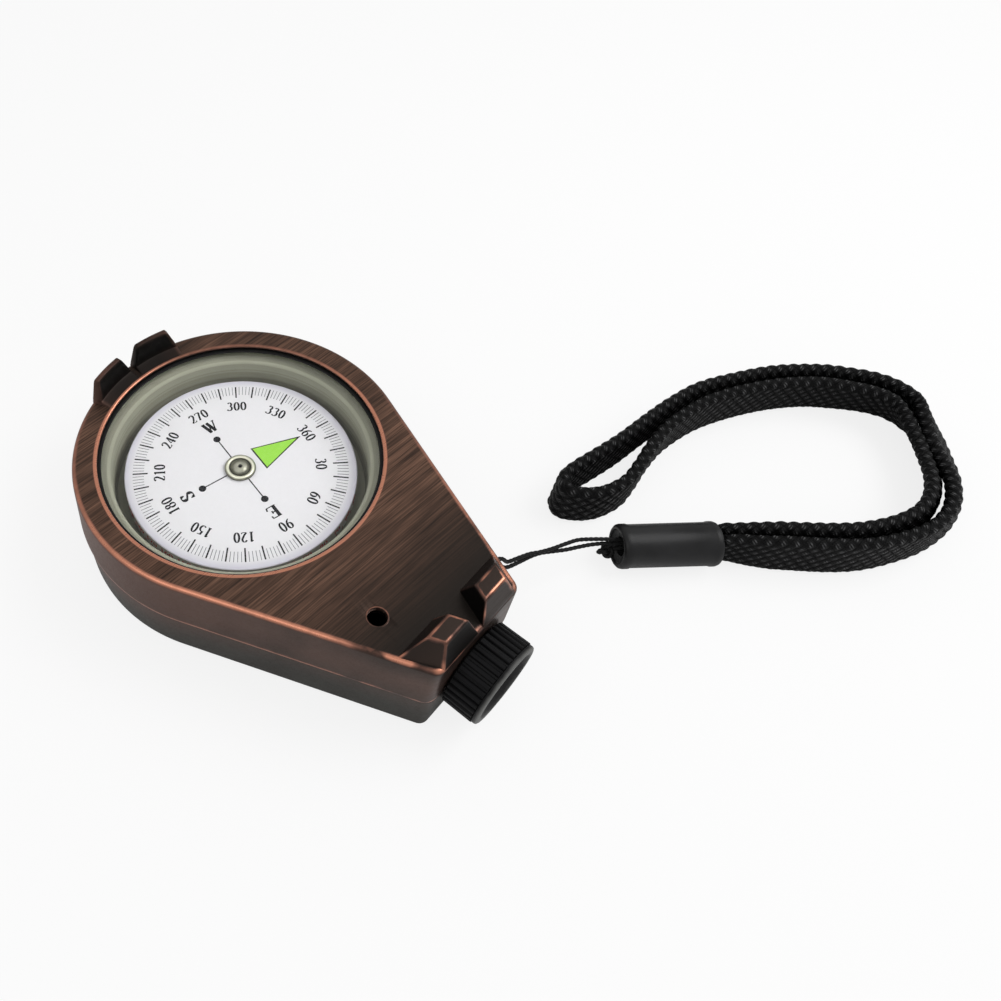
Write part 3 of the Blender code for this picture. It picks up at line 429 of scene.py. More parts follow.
def new_group(name: str, kind: str, inputs: dict[str, str], outputs: dict[str, str]
              ) -> tuple[Graph, Sockets, Sockets]:
    """Start a node group.

    Args:
        name: The group's name.
        kind: Type of the tree.
        inputs: Socket types by input name.
        outputs: Socket types by output name.

    Returns:
        The graph, what the group is given and what it puts out.
    """
    tree = bpy.data.node_groups.new(name, kind)
    for sockets, side in ((inputs, "INPUT"), (outputs, "OUTPUT")):
        for label, socket in sockets.items():
            tree.interface.new_socket(name=label, in_out=side, socket_type="NodeSocket" + socket)
    graph = Graph(tree)
    return graph, graph.add("NodeGroupInput").outputs, graph.add("NodeGroupOutput").inputs


@cache
def worn_edges() -> Tree:
    """Group whose mask marks worn edges: bare plating, and the ring's rim painted as lit and rubbed.

    Returns:
        The group, made once.
    """
    graph, given, out = new_group(
        "worn edges", "ShaderNodeTree",
        {"Vector": "Vector", "Wear": "Float", "Fineness": "Float", "Breakup": "Float"}, {"Mask": "Float"})
    spots = graph.noise(given["Vector"], given["Fineness"], 3.0, 0.6)
    change = graph.times(graph.math("SUBTRACT", spots, 0.5), given["Breakup"])
    total = graph.math("ADD", given["Wear"], change)
    graph.join(graph.span(total, 0.25, 0.95), out["Mask"])
    return graph.tree


@cache
def brushing() -> Tree:
    """Group whose values run in fine scratches across the sight line.

    Returns:
        The group, made once.
    """
    graph, given, out = new_group(
        "brushing", "ShaderNodeTree",
        {"Vector": "Vector", "Turn": "Float", "Length": "Float", "Width": "Float"},
        {"Scratches": "Float", "Bands": "Float"})
    turned = graph.add("ShaderNodeVectorRotate", {"Vector": given["Vector"], "Angle": given["Turn"]},
                       rotation_type="Z_AXIS")
    for label, share in (("Scratches", 1.0), ("Bands", 0.3)):
        width = graph.times(given["Width"], share)
        scale = graph.add("ShaderNodeCombineXYZ", {0: given["Length"], 1: width, 2: width})
        place = graph.vector("MULTIPLY", turned.outputs[0], scale.outputs[0])
        graph.join(graph.noise(place, 1.0, 3.0, 0.6), out[label])
    return graph.tree


@dataclass(frozen=True)
class Finish:
    """A surface finish; one material is made for each piece."""

    base: Colour = (0.5, 0.5, 0.5)
    roughness: float = 0.5
    metallic: float = 0.0
    specular: float = 0.5

    def material(self, piece: str) -> bpy.types.Material:
        """Make the material of one piece.

        Args:
            piece: The piece's name.

        Returns:
            The material.
        """
        made = bpy.data.materials.new(piece + "_finish")
        made.use_nodes = True
        graph = Surface(made.node_tree)
        for name, value in (("Base Color", (*self.base, 1.0)), ("Roughness", self.roughness),
                            ("Metallic", self.metallic), ("Specular IOR Level", self.specular)):
            graph.shader.inputs[name].default_value = value
        self.shade(graph)
        return made

    def toned(self, share: float) -> Colour:
        """The base colour, lighter or darker."""
        return tuple(share * part for part in self.base)

    def shade(self, graph: Surface) -> None:
        """Add the finish's own nodes; a plain one has none."""


@dataclass(frozen=True)
class AntiqueCopper(Finish):
    """Copper plating, blackened, brushed on its flat top and worn bare along its edges.

    The bare edges are painted brightest to -X and -Y, where their wear carries a painted highlight too.
    """

    base: Colour = (0.1, 0.06, 0.048)
    roughness: float = 0.42
    metallic: float = 0.85
    patina: Colour = (0.026, 0.018, 0.0145)
    brown: Colour = (0.28, 0.15, 0.1)
    red_wall: Colour = (0.15, 0.075, 0.055)
    foot: Colour = (0.052, 0.05, 0.043)
    bare: Colour = (0.62, 0.26, 0.165)
    dull: Colour = (0.17, 0.085, 0.07)
    soot_colour: Colour = (0.006, 0.0055, 0.005)
    smoke: Colour = (0.014, 0.012, 0.01)
    brushed_height: float = 19.05
    brush_turn: float = 4.4
    least_wear: float = 0.3
    plain_tail: Point2 = (-40.0, -22.0)
    ears_centre: Point3 = (0.0, 25.0, 19.0)
    ears_smoke: Point2 = (5.0, 14.0)
    tail_smoke: Point2 = (-42.0, -29.0)
    tail_smoke_heights: Point2 = (15.0, 19.0)
    foot_heights: Point2 = (5.0, 13.0)
    red_places: Point2 = (-25.0, 10.0)
    red_heights: Point2 = (2.0, 9.0)
    rub_direction: Point3 = (-0.73, -0.68, 0.0)
    rub_reach: Point2 = (-22.0, 20.0)
    patchy_tail: Point2 = (-37.0, -31.0)

    def shade(self, graph: Surface) -> None:
        """Add brushed top, walls with painted reflection, bare edges with painted highlight, black patina and
        shade.

        Args:
            graph: The material's nodes.
        """
        place = graph.place
        _, y, z = graph.axes(place)
        brush = graph.group(brushing(), {"Vector": place, "Turn": radians(self.brush_turn),
                                         "Length": 75.0, "Width": 3800.0})
        top = graph.reach(z, (self.brushed_height - 0.1, self.brushed_height))
        off_tail = graph.reach(y, self.plain_tail)
        ears = tuple(part * MM for part in self.ears_centre)
        from_ears = graph.vector("LENGTH", graph.vector("SUBTRACT", place, ears))
        near_ears = graph.reach(from_ears, self.ears_smoke, 0.85, 0.0)
        rear = graph.times(graph.reach(y, self.tail_smoke, 0.75, 0.0),
                           graph.reach(z, self.tail_smoke_heights))
        smoky = graph.math("MAXIMUM", near_ears, rear)
        clouds = graph.noise(place, 120.0)
        streaks = graph.times(graph.span(brush["Scratches"], 0.32, 0.7, 0.15, 1.0),
                              graph.span(brush["Bands"], 0.3, 0.62, 0.35, 1.0))
        strength = graph.times(off_tail, graph.span(clouds, 0.3, 0.7, 0.65, 1.1))
        top_colour = graph.mix(graph.times(streaks, strength), self.patina, self.brown)
        wall_colour = graph.mix(graph.reach(z, self.foot_heights), self.foot, self.base)
        wall_colour = graph.mix(graph.span(clouds, 0.4, 0.7, 0.0, 0.4), wall_colour, self.patina)
        # Red tone on the upper walls towards the head: copper's own tone with a painted reflection.
        red = graph.times(graph.reach(y, self.red_places), graph.reach(z, self.red_heights))
        wall_colour = graph.mix(graph.times(red, 0.75), wall_colour, self.red_wall)
        colour = graph.mix(smoky, graph.mix(top, wall_colour, top_colour), self.smoke)
        # Wear grows towards -X and -Y: there the bare copper also stands for a painted highlight.
        across = graph.add("ShaderNodeVectorMath", {0: place, 1: self.rub_direction},
                           operation="DOT_PRODUCT").outputs["Value"]
        rubbed = graph.reach(across, self.rub_reach, self.least_wear, 1.0)
        patches = graph.span(graph.noise(place, 300.0, 1.0), 0.4, 0.6, 0.55, 0.0)
        spared = graph.times(graph.reach(y, self.patchy_tail, 1.0, 0.0), patches)
        rubbed = graph.times(rubbed, graph.math("SUBTRACT", 1.0, spared))
        wear = graph.times(graph.attribute("wear"), rubbed)
        mask = graph.group(worn_edges(), {"Vector": place, "Wear": wear, "Fineness": 420.0,
                                          "Breakup": 0.75})["Mask"]
        metal = graph.mix(graph.span(wear, 0.35, 0.95), self.dull, self.bare)
        colour = graph.mix(mask, colour, metal)
        # soot: black patina in recesses, and painted shadow in the window's lip, the pockets and the left
        # rear ear.
        colour = graph.mix(graph.attribute("soot"), colour, self.soot_colour)
        rough = graph.math("MULTIPLY_ADD", mask, -0.12, graph.span(streaks, 0.0, 1.0, 0.36, 0.5))
        grain = graph.noise(place, 5200.0)
        height = graph.math("ADD", graph.times(brush["Scratches"], top), graph.times(grain, 0.25))
        graph.feed(Base_Color=colour, Roughness=rough, Normal=graph.bump(height, 0.00003, 0.7))


@dataclass(frozen=True)
class Moulded(Finish):
    """Moulded plastic or rubber with a fine grain."""

    base: Colour = (0.012, 0.012, 0.012)
    roughness: float = 0.42
    specular: float = 0.25
    grain: float = 2600.0
    depth: float = 0.00002

    def shade(self, graph: Surface) -> None:
        """Add grain and a slight change of tone.

        Args:
            graph: The material's nodes.
        """
        fine = graph.noise(graph.place, self.grain, 3.0)
        broad = graph.noise(graph.place, 180.0)
        graph.feed(Base_Color=graph.mix(graph.span(broad, 0.35, 0.65), self.toned(0.8), self.toned(1.25)),
                   Roughness=graph.span(broad, 0.3, 0.7, self.roughness - 0.05, self.roughness + 0.05),
                   Normal=graph.bump(fine, self.depth, 0.6))


@dataclass(frozen=True)
class RingPlastic(Moulded):
    """Black plastic whose end rim is painted grey, as lit and rubbed."""

    base: Colour = (0.007, 0.007, 0.0075)
    roughness: float = 0.45
    specular: float = 0.12
    rubbed: Colour = (0.11, 0.11, 0.105)

    def shade(self, graph: Surface) -> None:
        """Add grain and the rim's painted light and rubbing.

        Args:
            graph: The material's nodes.
        """
        super().shade(graph)
        colour = graph.shader.inputs["Base Color"].links[0].from_socket
        # The end rim is painted grey: painted light on it, with rubbing.
        edge = graph.group(worn_edges(), {"Vector": graph.place, "Wear": graph.attribute("wear"),
                                          "Fineness": 700.0, "Breakup": 0.5})
        graph.feed(Base_Color=graph.mix(edge["Mask"], colour, self.rubbed))


@dataclass(frozen=True)
class Metal(Finish):
    """Plain turned or drawn metal with a slight grain."""

    metallic: float = 1.0
    roughness: float = 0.32

    def shade(self, graph: Surface) -> None:
        """Add a slight grain.

        Args:
            graph: The material's nodes.
        """
        fine = graph.noise(graph.place, 3500.0, 3.0)
        graph.feed(Base_Color=graph.mix(graph.span(fine, 0.3, 0.7), self.toned(0.75), self.base),
                   Roughness=graph.span(fine, 0.2, 0.8, self.roughness - 0.06, self.roughness + 0.08))


@dataclass(frozen=True)
class HubMetal(Finish):
    """Greenish silver plating with a painted highlight on its rim and painted shade in its groove and centre.
    """

    base: Colour = (0.24, 0.24, 0.19)
    roughness: float = 0.28
    metallic: float = 0.85
    bright: Colour = (0.78, 0.78, 0.62)

    def shade(self, graph: Surface) -> None:
        """Paint a highlight where wear is set, and shade where soot is.

        Args:
            graph: The material's nodes.
        """
        fine = graph.noise(graph.place, 2500.0)
        colour = graph.mix(graph.span(fine, 0.3, 0.7), self.toned(0.7), self.base)
        # Painted highlight on the rim, painted shade in the groove and the centre hole.
        colour = graph.mix(graph.attribute("wear"), colour, self.bright)
        graph.feed(Base_Color=graph.mix(graph.attribute("soot"), colour, (0.01, 0.01, 0.008)))


@dataclass(frozen=True)
class CardFace(Finish):
    """White card with a lilac rim and a grey skirt."""

    base: Colour = (0.81, 0.805, 0.83)
    roughness: float = 0.45
    rim: Colour = (0.66, 0.645, 0.73)
    skirt: Colour = (0.42, 0.4, 0.39)
    rim_start: float = 17.6
    card_radius: float = 19.17
    face_height: float = 11.4

    def shade(self, graph: Surface) -> None:
        """Add the rings of colour.

        Args:
            graph: The material's nodes.
        """
        z = graph.axes(graph.place)[2]
        radius = graph.vector("LENGTH", graph.vector("MULTIPLY", graph.place, (1.0, 1.0, 0.0)))
        colour = graph.mix(graph.reach(radius, (self.rim_start, self.card_radius - 0.4)), self.base, self.rim)
        below = graph.reach(z, (self.face_height, self.face_height - 0.05))
        colour = graph.mix(below, colour, self.skirt)
        paper = graph.noise(graph.place, 1500.0)
        graph.feed(Base_Color=graph.mix(graph.span(paper, 0.3, 0.7, 0.0, 0.04), colour, (0.5, 0.5, 0.5)))


@dataclass(frozen=True)
class Ink(Finish):
    """Printing ink that covers unevenly."""

    base: Colour = (0.006, 0.006, 0.008)
    roughness: float = 0.6
    specular: float = 0.1
    thin: Colour = (0.03, 0.03, 0.036)

    def shade(self, graph: Surface) -> None:
        """Add thin spots."""
        spots = graph.noise(graph.place, 2200.0)
        graph.feed(Base_Color=graph.mix(graph.span(spots, 0.45, 0.75), self.base, self.thin))


@dataclass(frozen=True)
class Clear(Finish):
    """Clear plastic or glass that lets light through to what lies under it."""

    base: Colour = (1.0, 1.0, 1.0)
    roughness: float = 0.0
    specular: float = 0.25
    index: float = 1.45

    def shade(self, graph: Surface) -> None:
        """Make it refract what the camera sees and let shadow rays pass.

        Args:
            graph: The material's nodes.
        """
        graph.shader.inputs["Transmission Weight"].default_value = 1.0
        graph.shader.inputs["IOR"].default_value = self.index
        light = graph.add("ShaderNodeLightPath")
        passing = graph.add("ShaderNodeBsdfTransparent", {"Color": (*self.base, 1.0)})
        both = graph.add("ShaderNodeMixShader", {0: light.outputs["Is Shadow Ray"],
                                                 1: graph.shader.outputs[0], 2: passing.outputs[0]})
        graph.join(both.outputs[0], graph.tree.nodes["Material Output"].inputs["Surface"])


@dataclass(frozen=True)
class OliveCup(Finish):
    """Greenish plastic of the capsule's wall, with faint turned rings, painted lighter low down as fill
    light.
    """

    base: Colour = (0.36, 0.365, 0.28)
    roughness: float = 0.6
    specular: float = 0.12
    deep: Colour = (0.4, 0.405, 0.31)
    ring_colour: Colour = (0.17, 0.17, 0.125)
    deep_heights: Point2 = (7.0, 14.0)

    def shade(self, graph: Surface) -> None:
        """Add rings by height and radius.

        Args:
            graph: The material's nodes.
        """
        z = graph.axes(graph.place)[2]
        radius = graph.vector("LENGTH", graph.vector("MULTIPLY", graph.place, (1.0, 1.0, 0.0)))
        turned = graph.times(graph.math("ADD", radius, z), 900.0)
        rings = graph.add("ShaderNodeTexNoise", {"W": turned, "Scale": 1.0}, noise_dimensions="1D")
        # Low on the wall the colour is painted lighter, as fill light against the shade there.
        colour = graph.mix(graph.reach(z, self.deep_heights), self.deep, self.base)
        graph.feed(Base_Color=graph.mix(graph.span(rings.outputs["Fac"], 0.4, 0.7, 0.0, 0.45), colour,
                                        self.ring_colour))


@dataclass(frozen=True)
class BraidedYarn(Finish):
    """Black yarn in a diagonal braid; along and across count its cells."""

    base: Colour = (0.004, 0.004, 0.0042)
    light: Colour = (0.12, 0.12, 0.122)
    roughness: float = 0.5
    specular: float = 0.08
    yarns: float = 4.0

    def shade(self, graph: Surface) -> None:
        """Add the strands' crowns, the yarns in each strand, their fibres and painted glints on the crowns.

        Args:
            graph: The material's nodes.
        """
        strands = Strands(graph, graph.attribute("along"), graph.attribute("across"))
        crown = strands.height()
        turns = graph.times(strands.across_strand(), pi * self.yarns)
        yarn = graph.math("ABSOLUTE", graph.math("SINE", turns))
        fuzz = graph.noise(graph.place, 2600.0, 3.0)
        fine = graph.times(yarn, graph.span(fuzz, 0.3, 0.7, 0.5, 1.0))
        height = graph.math("MULTIPLY_ADD", fine, 0.3, crown)
        # The light colour on the crowns is a painted glint.
        painted_glint = graph.times(graph.span(crown, 0.78, 1.0), graph.span(fine, 0.4, 0.95))
        graph.feed(Base_Color=graph.mix(painted_glint, self.base, self.light),
                   Normal=graph.bump(height, 0.00025, 0.9))


@dataclass(frozen=True)
class TwistedYarn(Finish):
    """Black twisted cord."""

    base: Colour = (0.005, 0.005, 0.0052)
    roughness: float = 0.55
    specular: float = 0.12

    def shade(self, graph: Surface) -> None:
        """Add fibres."""
        fuzz = graph.noise(graph.place, 5000.0, 3.0)
        graph.feed(Base_Color=graph.mix(graph.span(fuzz, 0.35, 0.7), self.base, self.toned(3.0)),
                   Normal=graph.bump(fuzz, 0.00006, 0.7))


class Strands:
    """Nodes of a plain braid whose strands cross on the diagonal, each over one and under one."""

    def __init__(self, graph: Graph, along: Socket, across: Socket) -> None:
        """Start from the cells counted along the strap and round it."""
        self.graph = graph
        self.places = [graph.math("ADD", along, across), graph.math("SUBTRACT", along, across)]
        floors = [graph.math("FLOOR", place) for place in self.places]
        self.parity = graph.math("PINGPONG", graph.math("ADD", *floors), 1.0)

    def pick(self, first: Socket, second: Socket) -> Socket:
        """Value of the strand that lies on top."""
        graph = self.graph
        other = graph.times(second, graph.math("SUBTRACT", 1.0, self.parity))
        return graph.math("MULTIPLY_ADD", first, self.parity, other)

    def across_strand(self) -> Socket:
        """Place across the strand that lies on top, one unit wide."""
        return self.pick(*self.places)

    def height(self) -> Socket:
        """Height from 0 to 1, highest in the middle of each crossing.

        Returns:
            The height of the strand that lies on top.
        """
        graph = self.graph
        waves = [graph.math("SINE", graph.times(place, pi)) for place in self.places]
        crowns = [graph.math("ABSOLUTE", wave) for wave in waves]
        heights = []
        for own, other in (crowns, crowns[::-1]):
            arch = graph.math("MULTIPLY_ADD", other, 0.5, 0.5)
            heights.append(graph.times(graph.math("POWER", own, 0.45), arch))
        return self.pick(*heights)


def set_inputs(modifier: bpy.types.Modifier, values: dict[str, object]) -> None:
    """Set a geometry nodes modifier's inputs by name, through their identifiers."""
    for item in modifier.node_group.interface.items_tree:
        if item.item_type == "SOCKET" and item.in_out == "INPUT" and item.name in values:
            modifier[item.identifier] = values[item.name]


@cache
def copies_round_axis() -> Tree:
    """Geometry nodes that repeat a shape round Z, with some places left out.

    Returns:
        The tree, made once.
    """
    graph, given, out = new_group(
        "copies round axis", "GeometryNodeTree",
        {"Shape": "Geometry", "Count": "Int", "Step": "Float", "Start": "Float", "Skip": "Int",
         "Finish": "Material"}, {"Copies": "Geometry"})
    places = graph.add("GeometryNodeMeshLine", {"Count": given["Count"], "Offset": (0.0, 0.0, 0.0)})
    index = graph.add("GeometryNodeInputIndex").outputs[0]
    angle = graph.math("MULTIPLY_ADD", index, given["Step"], given["Start"])
    turn = graph.add("ShaderNodeCombineXYZ", {2: angle})
    kept = graph.math("GREATER_THAN", graph.math("MODULO", index, given["Skip"]), 0.5)
    copies = graph.add("GeometryNodeInstanceOnPoints", {
        "Points": places.outputs[0], "Selection": kept, "Instance": given["Shape"],
        "Rotation": turn.outputs[0]})
    real = graph.add("GeometryNodeRealizeInstances", {0: copies.outputs[0]})
    return graph.finished(real, given, out)


def repeat_round(obj: Object, count: int, step: float, start: float, finish: Finish,
                 skip: int = 0) -> Object:
    """Repeat a shape round Z.

    Args:
        obj: The shape, at its own radius on +X.
        count: Number of places.
        step: Angle between places in degrees.
        start: Angle of the first place in degrees.
        finish: Finish of the copies.
        skip: Leave out every place whose number divides by this; 0 keeps all.

    Returns:
        The same object with all the copies as a plain mesh.
    """
    modifier = obj.modifiers.new("copies", "NODES")
    modifier.node_group = copies_round_axis()
    first = 0 if skip else 1
    set_inputs(modifier, {
        "Count": count + first, "Step": radians(step), "Start": radians(start - first * step),
        "Skip": skip if skip else count + first, "Finish": finish.material(obj.name)})
    return flatten(obj)


def braided_skin() -> Tree:
    """Geometry nodes that raise a braid's yarns on a tube with along and across marks.

    Returns:
        The tree.
    """
    graph, given, out = new_group(
        "braided skin", "GeometryNodeTree",
        {"Tube": "Geometry", "Depth": "Float", "Finish": "Material"}, {"Skin": "Geometry"})
    marks = [graph.add("GeometryNodeInputNamedAttribute", {"Name": name}, data_type="FLOAT").outputs[0]
             for name in ("along", "across")]
    height = graph.times(Strands(graph, *marks).height(), given["Depth"])
    normal = graph.add("GeometryNodeInputNormal").outputs[0]
    offset = graph.add("ShaderNodeVectorMath", {0: normal, "Scale": height}, operation="SCALE").outputs[0]
    moved = graph.add("GeometryNodeSetPosition", {"Geometry": given["Tube"], "Offset": offset})
    return graph.finished(moved, given, out)


@dataclass
class CaseShells:
    """The two die-cast shells: round head, straight sides, short tail with round corners."""

    head_radius: float = 27.0
    side_angle: float = 23.4
    tail_reach: float = 46.5
    corner_radius: float = 1.8
    min_corner: float = 0.4
    height: float = 19.2
    parting: float = 9.8
    seam: float = 0.1
    upper_draft: float = 0.4
    lower_top: float = 0.1
    lower_foot: float = -0.1
    top_rounding: float = 0.7
    foot_rounding: float = 1.4
    hole_radius: float = 23.12
    lip_inset: float = 0.2
    lip_underside: float = 18.5
    pocket_radius: float = 24.5
    floor: float = 1.4
    wall: float = 2.2
    roof: float = 1.6
    top_hole: Point3 = (-8.2, -34.8, 1.45)
    eyepiece_radius: float = 5.35
    screw_places: tuple[Point2, ...] = ((15.0, -23.5), (-15.0, -23.5), (9.0, -41.0), (-9.0, -41.0))
    screw_seat_radius: float = 1.5
    screw_seat_depth: float = 1.2
    room_shoulder: float = -38.0
    room_neck: float = 6.75
    finish: Finish = AntiqueCopper()

    def side_x(self, y: float, inset: float = 0.0) -> float:
        """Half width of the case at y, inset from the side wall."""
        lean = radians(self.side_angle)
        return (self.head_radius - inset + y * sin(lean)) / cos(lean)

    def outline(self, offset: float) -> list[Point2]:
        """Plan of the case at an offset from its top edge; the rear wall has no draft.

        Args:
            offset: Distance outward.

        Returns:
            Points from the right tangent round the head, down the left side and back.
        """
        radius = self.head_radius + offset
        corner = max(self.corner_radius + offset, self.min_corner)
        lean = self.side_angle
        sine = sin(radians(lean))
        head = arc((0, 0), (radius, radius), -lean, 180 + lean, 200)
        centre_y = -(self.tail_reach + min(offset, 0)) + corner
        centre_x = (radius - corner + centre_y * sine) / cos(radians(lean))
        left = arc((-centre_x, centre_y), (corner, corner), 180 + lean, 270, 10)
        right = arc((centre_x, centre_y), (corner, corner), 270, 360 - lean, 10)
        points = head
        for start, end, steps, tail in ((head[-1], left[0], 24, left), (left[-1], right[0], 10, right),
                                        (right[-1], head[0], 24, [])):
            for step in range(1, steps):
                points = points + blend_points([start], [end], step / steps)
            points = points + tail
        return points

    def circle(self, radius: float) -> list[Point2]:
        """Circle about the card axis whose points pair with the outline's.

        Args:
            radius: Its radius.

        Returns:
            As many points as the outline has.
        """
        lean = self.side_angle
        plan = self.outline(0)
        head = arc((0, 0), (radius, radius), -lean, 180 + lean, 200)
        rest = plan[200:] + plan[:1]
        runs = [dist(a, b) for a, b in zip(rest, rest[1:])]
        travelled = np.cumsum(runs) / sum(runs)
        angles = [180 + lean + (180 - 2 * lean) * share for share in travelled[:-1]]
        return head + [arc((0, 0), (radius, radius), angle, angle, 1)[0] for angle in angles]

    def build_upper(self) -> Object:
        """Build the upper shell.

        Returns:
            The shell, with its window hole, eyepiece hole and top hole cut.
        """
        edge, low, top = self.upper_draft, self.parting, self.height
        levels = [(self.outline(offset), low + rise, wear) for offset, rise, wear in (
            (edge - 0.25, 0, 0.3), (edge - 0.07, 0.03, 0.9), (edge, 0.18, 1.0), (edge, 0.5, 0.55),
            (edge - 0.04, 1.1, 0.0))]
        start = top - self.top_rounding
        levels.append((self.outline(0.04), start - 0.7))
        for angle, wear in ((0, 0.15), (15, 0.4), (30, 0.7), (45, 0.95), (60, 1.0), (75, 1.0), (90, 0.85)):
            inset, rise = round_over(self.top_rounding, angle)
            levels.append((self.outline(-inset), start + rise, wear))
        outer = self.outline(-1.3)
        levels += [(self.outline(-0.95), top, 0.3), (outer, top)]
        rim = self.hole_radius
        levels += [(blend_points(outer, self.circle(rim + 1.0), share), top) for share in (0.33, 0.66)]
        lip, under, pocket = rim - self.lip_inset, self.lip_underside, self.pocket_radius
        # The lip's inner wall and the pocket are painted black with soot: painted shadow in the window's
        # recess.
        levels += [(self.circle(radius), height, wear, soot) for radius, height, wear, soot in (
            (rim + 1.0, top, 0.0, 0.0), (rim + 0.5, top, 0.4, 0.0), (rim + 0.2, top, 2.0, 0.0),
            (rim, top - 0.04, 2.2, 0.0), (lip + 0.06, top - 0.13, 2.0, 0.0), (lip, top - 0.3, 1.0, 0.3),
            (lip, top - 0.42, 0.0, 0.95), (lip, under, 0.0, 1.0), (pocket, under, 0.0, 1.0),
            (pocket, low, 0.0, 1.0))]
        shell = Draft().stack(levels, closed=True).finish("upper_shell", sharp=40)
        x, y, radius = self.top_hole
        hole = Draft().column(radius, top - 3, top + 1, 64).finish("hole_tool", placed(x, y))
        return cut(shell, [hole, *self.room_tools("upper", low - 1, top - self.roof)])

    def build_lower(self) -> Object:
        """Build the lower shell.

        Returns:
            The shell, with its rooms and the seats of the screws cut.
        """
        levels = []
        for angle in range(90, -1, -15):
            inset, rise = round_over(self.foot_rounding, angle)
            wear = 0.35 if 30 <= angle <= 60 else 0.1
            levels.append((self.outline(self.lower_foot - inset), self.foot_rounding - rise, wear))
        top = self.parting - self.seam
        for inset, drop, wear, soot in ((0, 0.6, 0.0, 0.0), (0, 0.2, 0.1, 0.3), (0.05, 0, 0.3, 0.6),
                                        (0.3, 0, 0.0, 1.0)):
            levels.append((self.outline(self.lower_top - inset), top - drop, wear, soot))
        # The pocket's walls are painted black: painted shade inside the case.
        pocket = self.circle(self.pocket_radius)
        levels += [(pocket, top, 0.0, 1.0), (pocket, self.floor, 0.0, 1.0)]
        shell = Draft().stack(levels).finish("lower_shell", sharp=40)
        tools = self.room_tools("lower", self.floor, self.parting + 1)
        for index, (x, y) in enumerate(self.screw_places, 1):
            seat = Draft().column(self.screw_seat_radius, -1, self.screw_seat_depth, 40)
            tools.append(seat.finish(f"seat_tool_{index}", placed(x, y)))
        return cut(shell, tools)

    def room_tools(self, side: str, low: float, high: float) -> list[Object]:
        """Cutters for the room in the tail, the light path and the eyepiece's hole.

        Args:
            side: Word for the cutters' names.
            low: Bottom of the room.
            high: Top of the room.

        Returns:
            The cutters.
        """
        front = -self.pocket_radius - 1.5
        back = self.wall - self.tail_reach
        shoulder, neck, middle = self.room_shoulder, self.room_neck, self.parting
        half = [(self.side_x(front, self.wall), front), (self.side_x(shoulder, self.wall), shoulder),
                (neck, shoulder), (neck, back)]
        plan = half + [(-x, y) for x, y in reversed(half)]
        room = Draft().stack([(plan, low), (plan, high)])
        window = rectangle(-4.5, 4.5, front - 1, front + 3)
        path = Draft().stack([(window, middle - 4), (window, middle + 4)])
        bore = Draft().column(self.eyepiece_radius, -back - 1, self.tail_reach + 2, 72)
        return [room.finish(side + "_room_tool"), path.finish(side + "_path_tool"),
                bore.finish(side + "_bore_tool", along_eyepiece(middle))]

    def build_hole_rim(self) -> Object:
        """Build the rim of the small hole in the top, bare copper with a painted highlight.

        Returns:
            The rim.
        """
        x, y, radius = self.top_hole
        top = self.height
        profile = [(radius, top - 0.3, 0.3), (radius, top - 0.04, 0.6), (radius + 0.06, top + 0.015, 0.75),
                   (radius + 0.2, top + 0.02, 0.5), (radius + 0.28, top - 0.01, 0.2),
                   (radius + 0.28, top - 0.3)]
        return Draft().turn(profile, 64).finish("hole_rim", placed(x, y))

    def assemble(self) -> None:
        """Build and dress the shells."""
        for shell, replaced in ((self.build_upper(), ["upper_case"]), (self.build_lower(), ["lower_case"]),
                                (self.build_hole_rim(), [])):
            dress(shell, self.finish, Body.CASE, replaced)


def along_eyepiece(height: float) -> Matrix:
    """Matrix that lays a shape turned about Z along the eyepiece axis, outward to -Y."""
    return Matrix.Translation((0, 0, height * MM)) @ Matrix.Rotation(radians(90), 4, "X")


def rounded_loop(corners: Sequence[Point2], radius: float, inset: float,
                 edge_soot_and_shade: Sequence[float]) -> Loop:
    """Convex outline with inset edges and round corners.

    Args:
        corners: The corners in order.
        radius: How far a corner's rounding reaches along its edges.
        inset: Distance by which the edges move inward.
        edge_soot_and_shade: Black patina and painted shade of the edge that starts at each corner.

    Returns:
        The points, their wear and their soot.
    """
    count = len(corners)
    area = sum(a[0] * b[1] - b[0] * a[1] for a, b in zip(corners, [*corners[1:], corners[0]]))
    side = 1 if area > 0 else -1
    lines = []
    for index in range(count):
        start, end = Vector(corners[index]), Vector(corners[(index + 1) % count])
        run = (end - start).normalized()
        inward = Vector((-run.y, run.x)) * side
        lines.append((start + inward * inset, run))
    moved = []
    for index in range(count):
        (p, r), (q, s) = lines[index - 1], lines[index]
        share = ((q.x - p.x) * s.y - (q.y - p.y) * s.x) / (r.x * s.y - r.y * s.x)
        moved.append(p + r * share)
    marks = []
    for index in range(count):
        before, corner, after = moved[index - 1], moved[index], moved[(index + 1) % count]
        start = corner + (before - corner).normalized() * radius
        end = corner + (after - corner).normalized() * radius
        old, new = edge_soot_and_shade[index - 1], edge_soot_and_shade[index]
        for share in (0.0, 0.25, 0.5, 0.75, 1.0):
            point = start * (1 - share) ** 2 + corner * 2 * share * (1 - share) + end * share ** 2
            marks.append((*point, 1.0, (old + (new - old) * share) * (0.35 if 0 < share < 1 else 1.0)))
        next_corner = after + (corner - after).normalized() * radius
        for share in (0.1, 0.5, 0.9):
            marks.append((*end.lerp(next_corner, share), 0.0, new))
    x, y, wear, soot = zip(*marks)
    return list(zip(x, y)), wear, soot


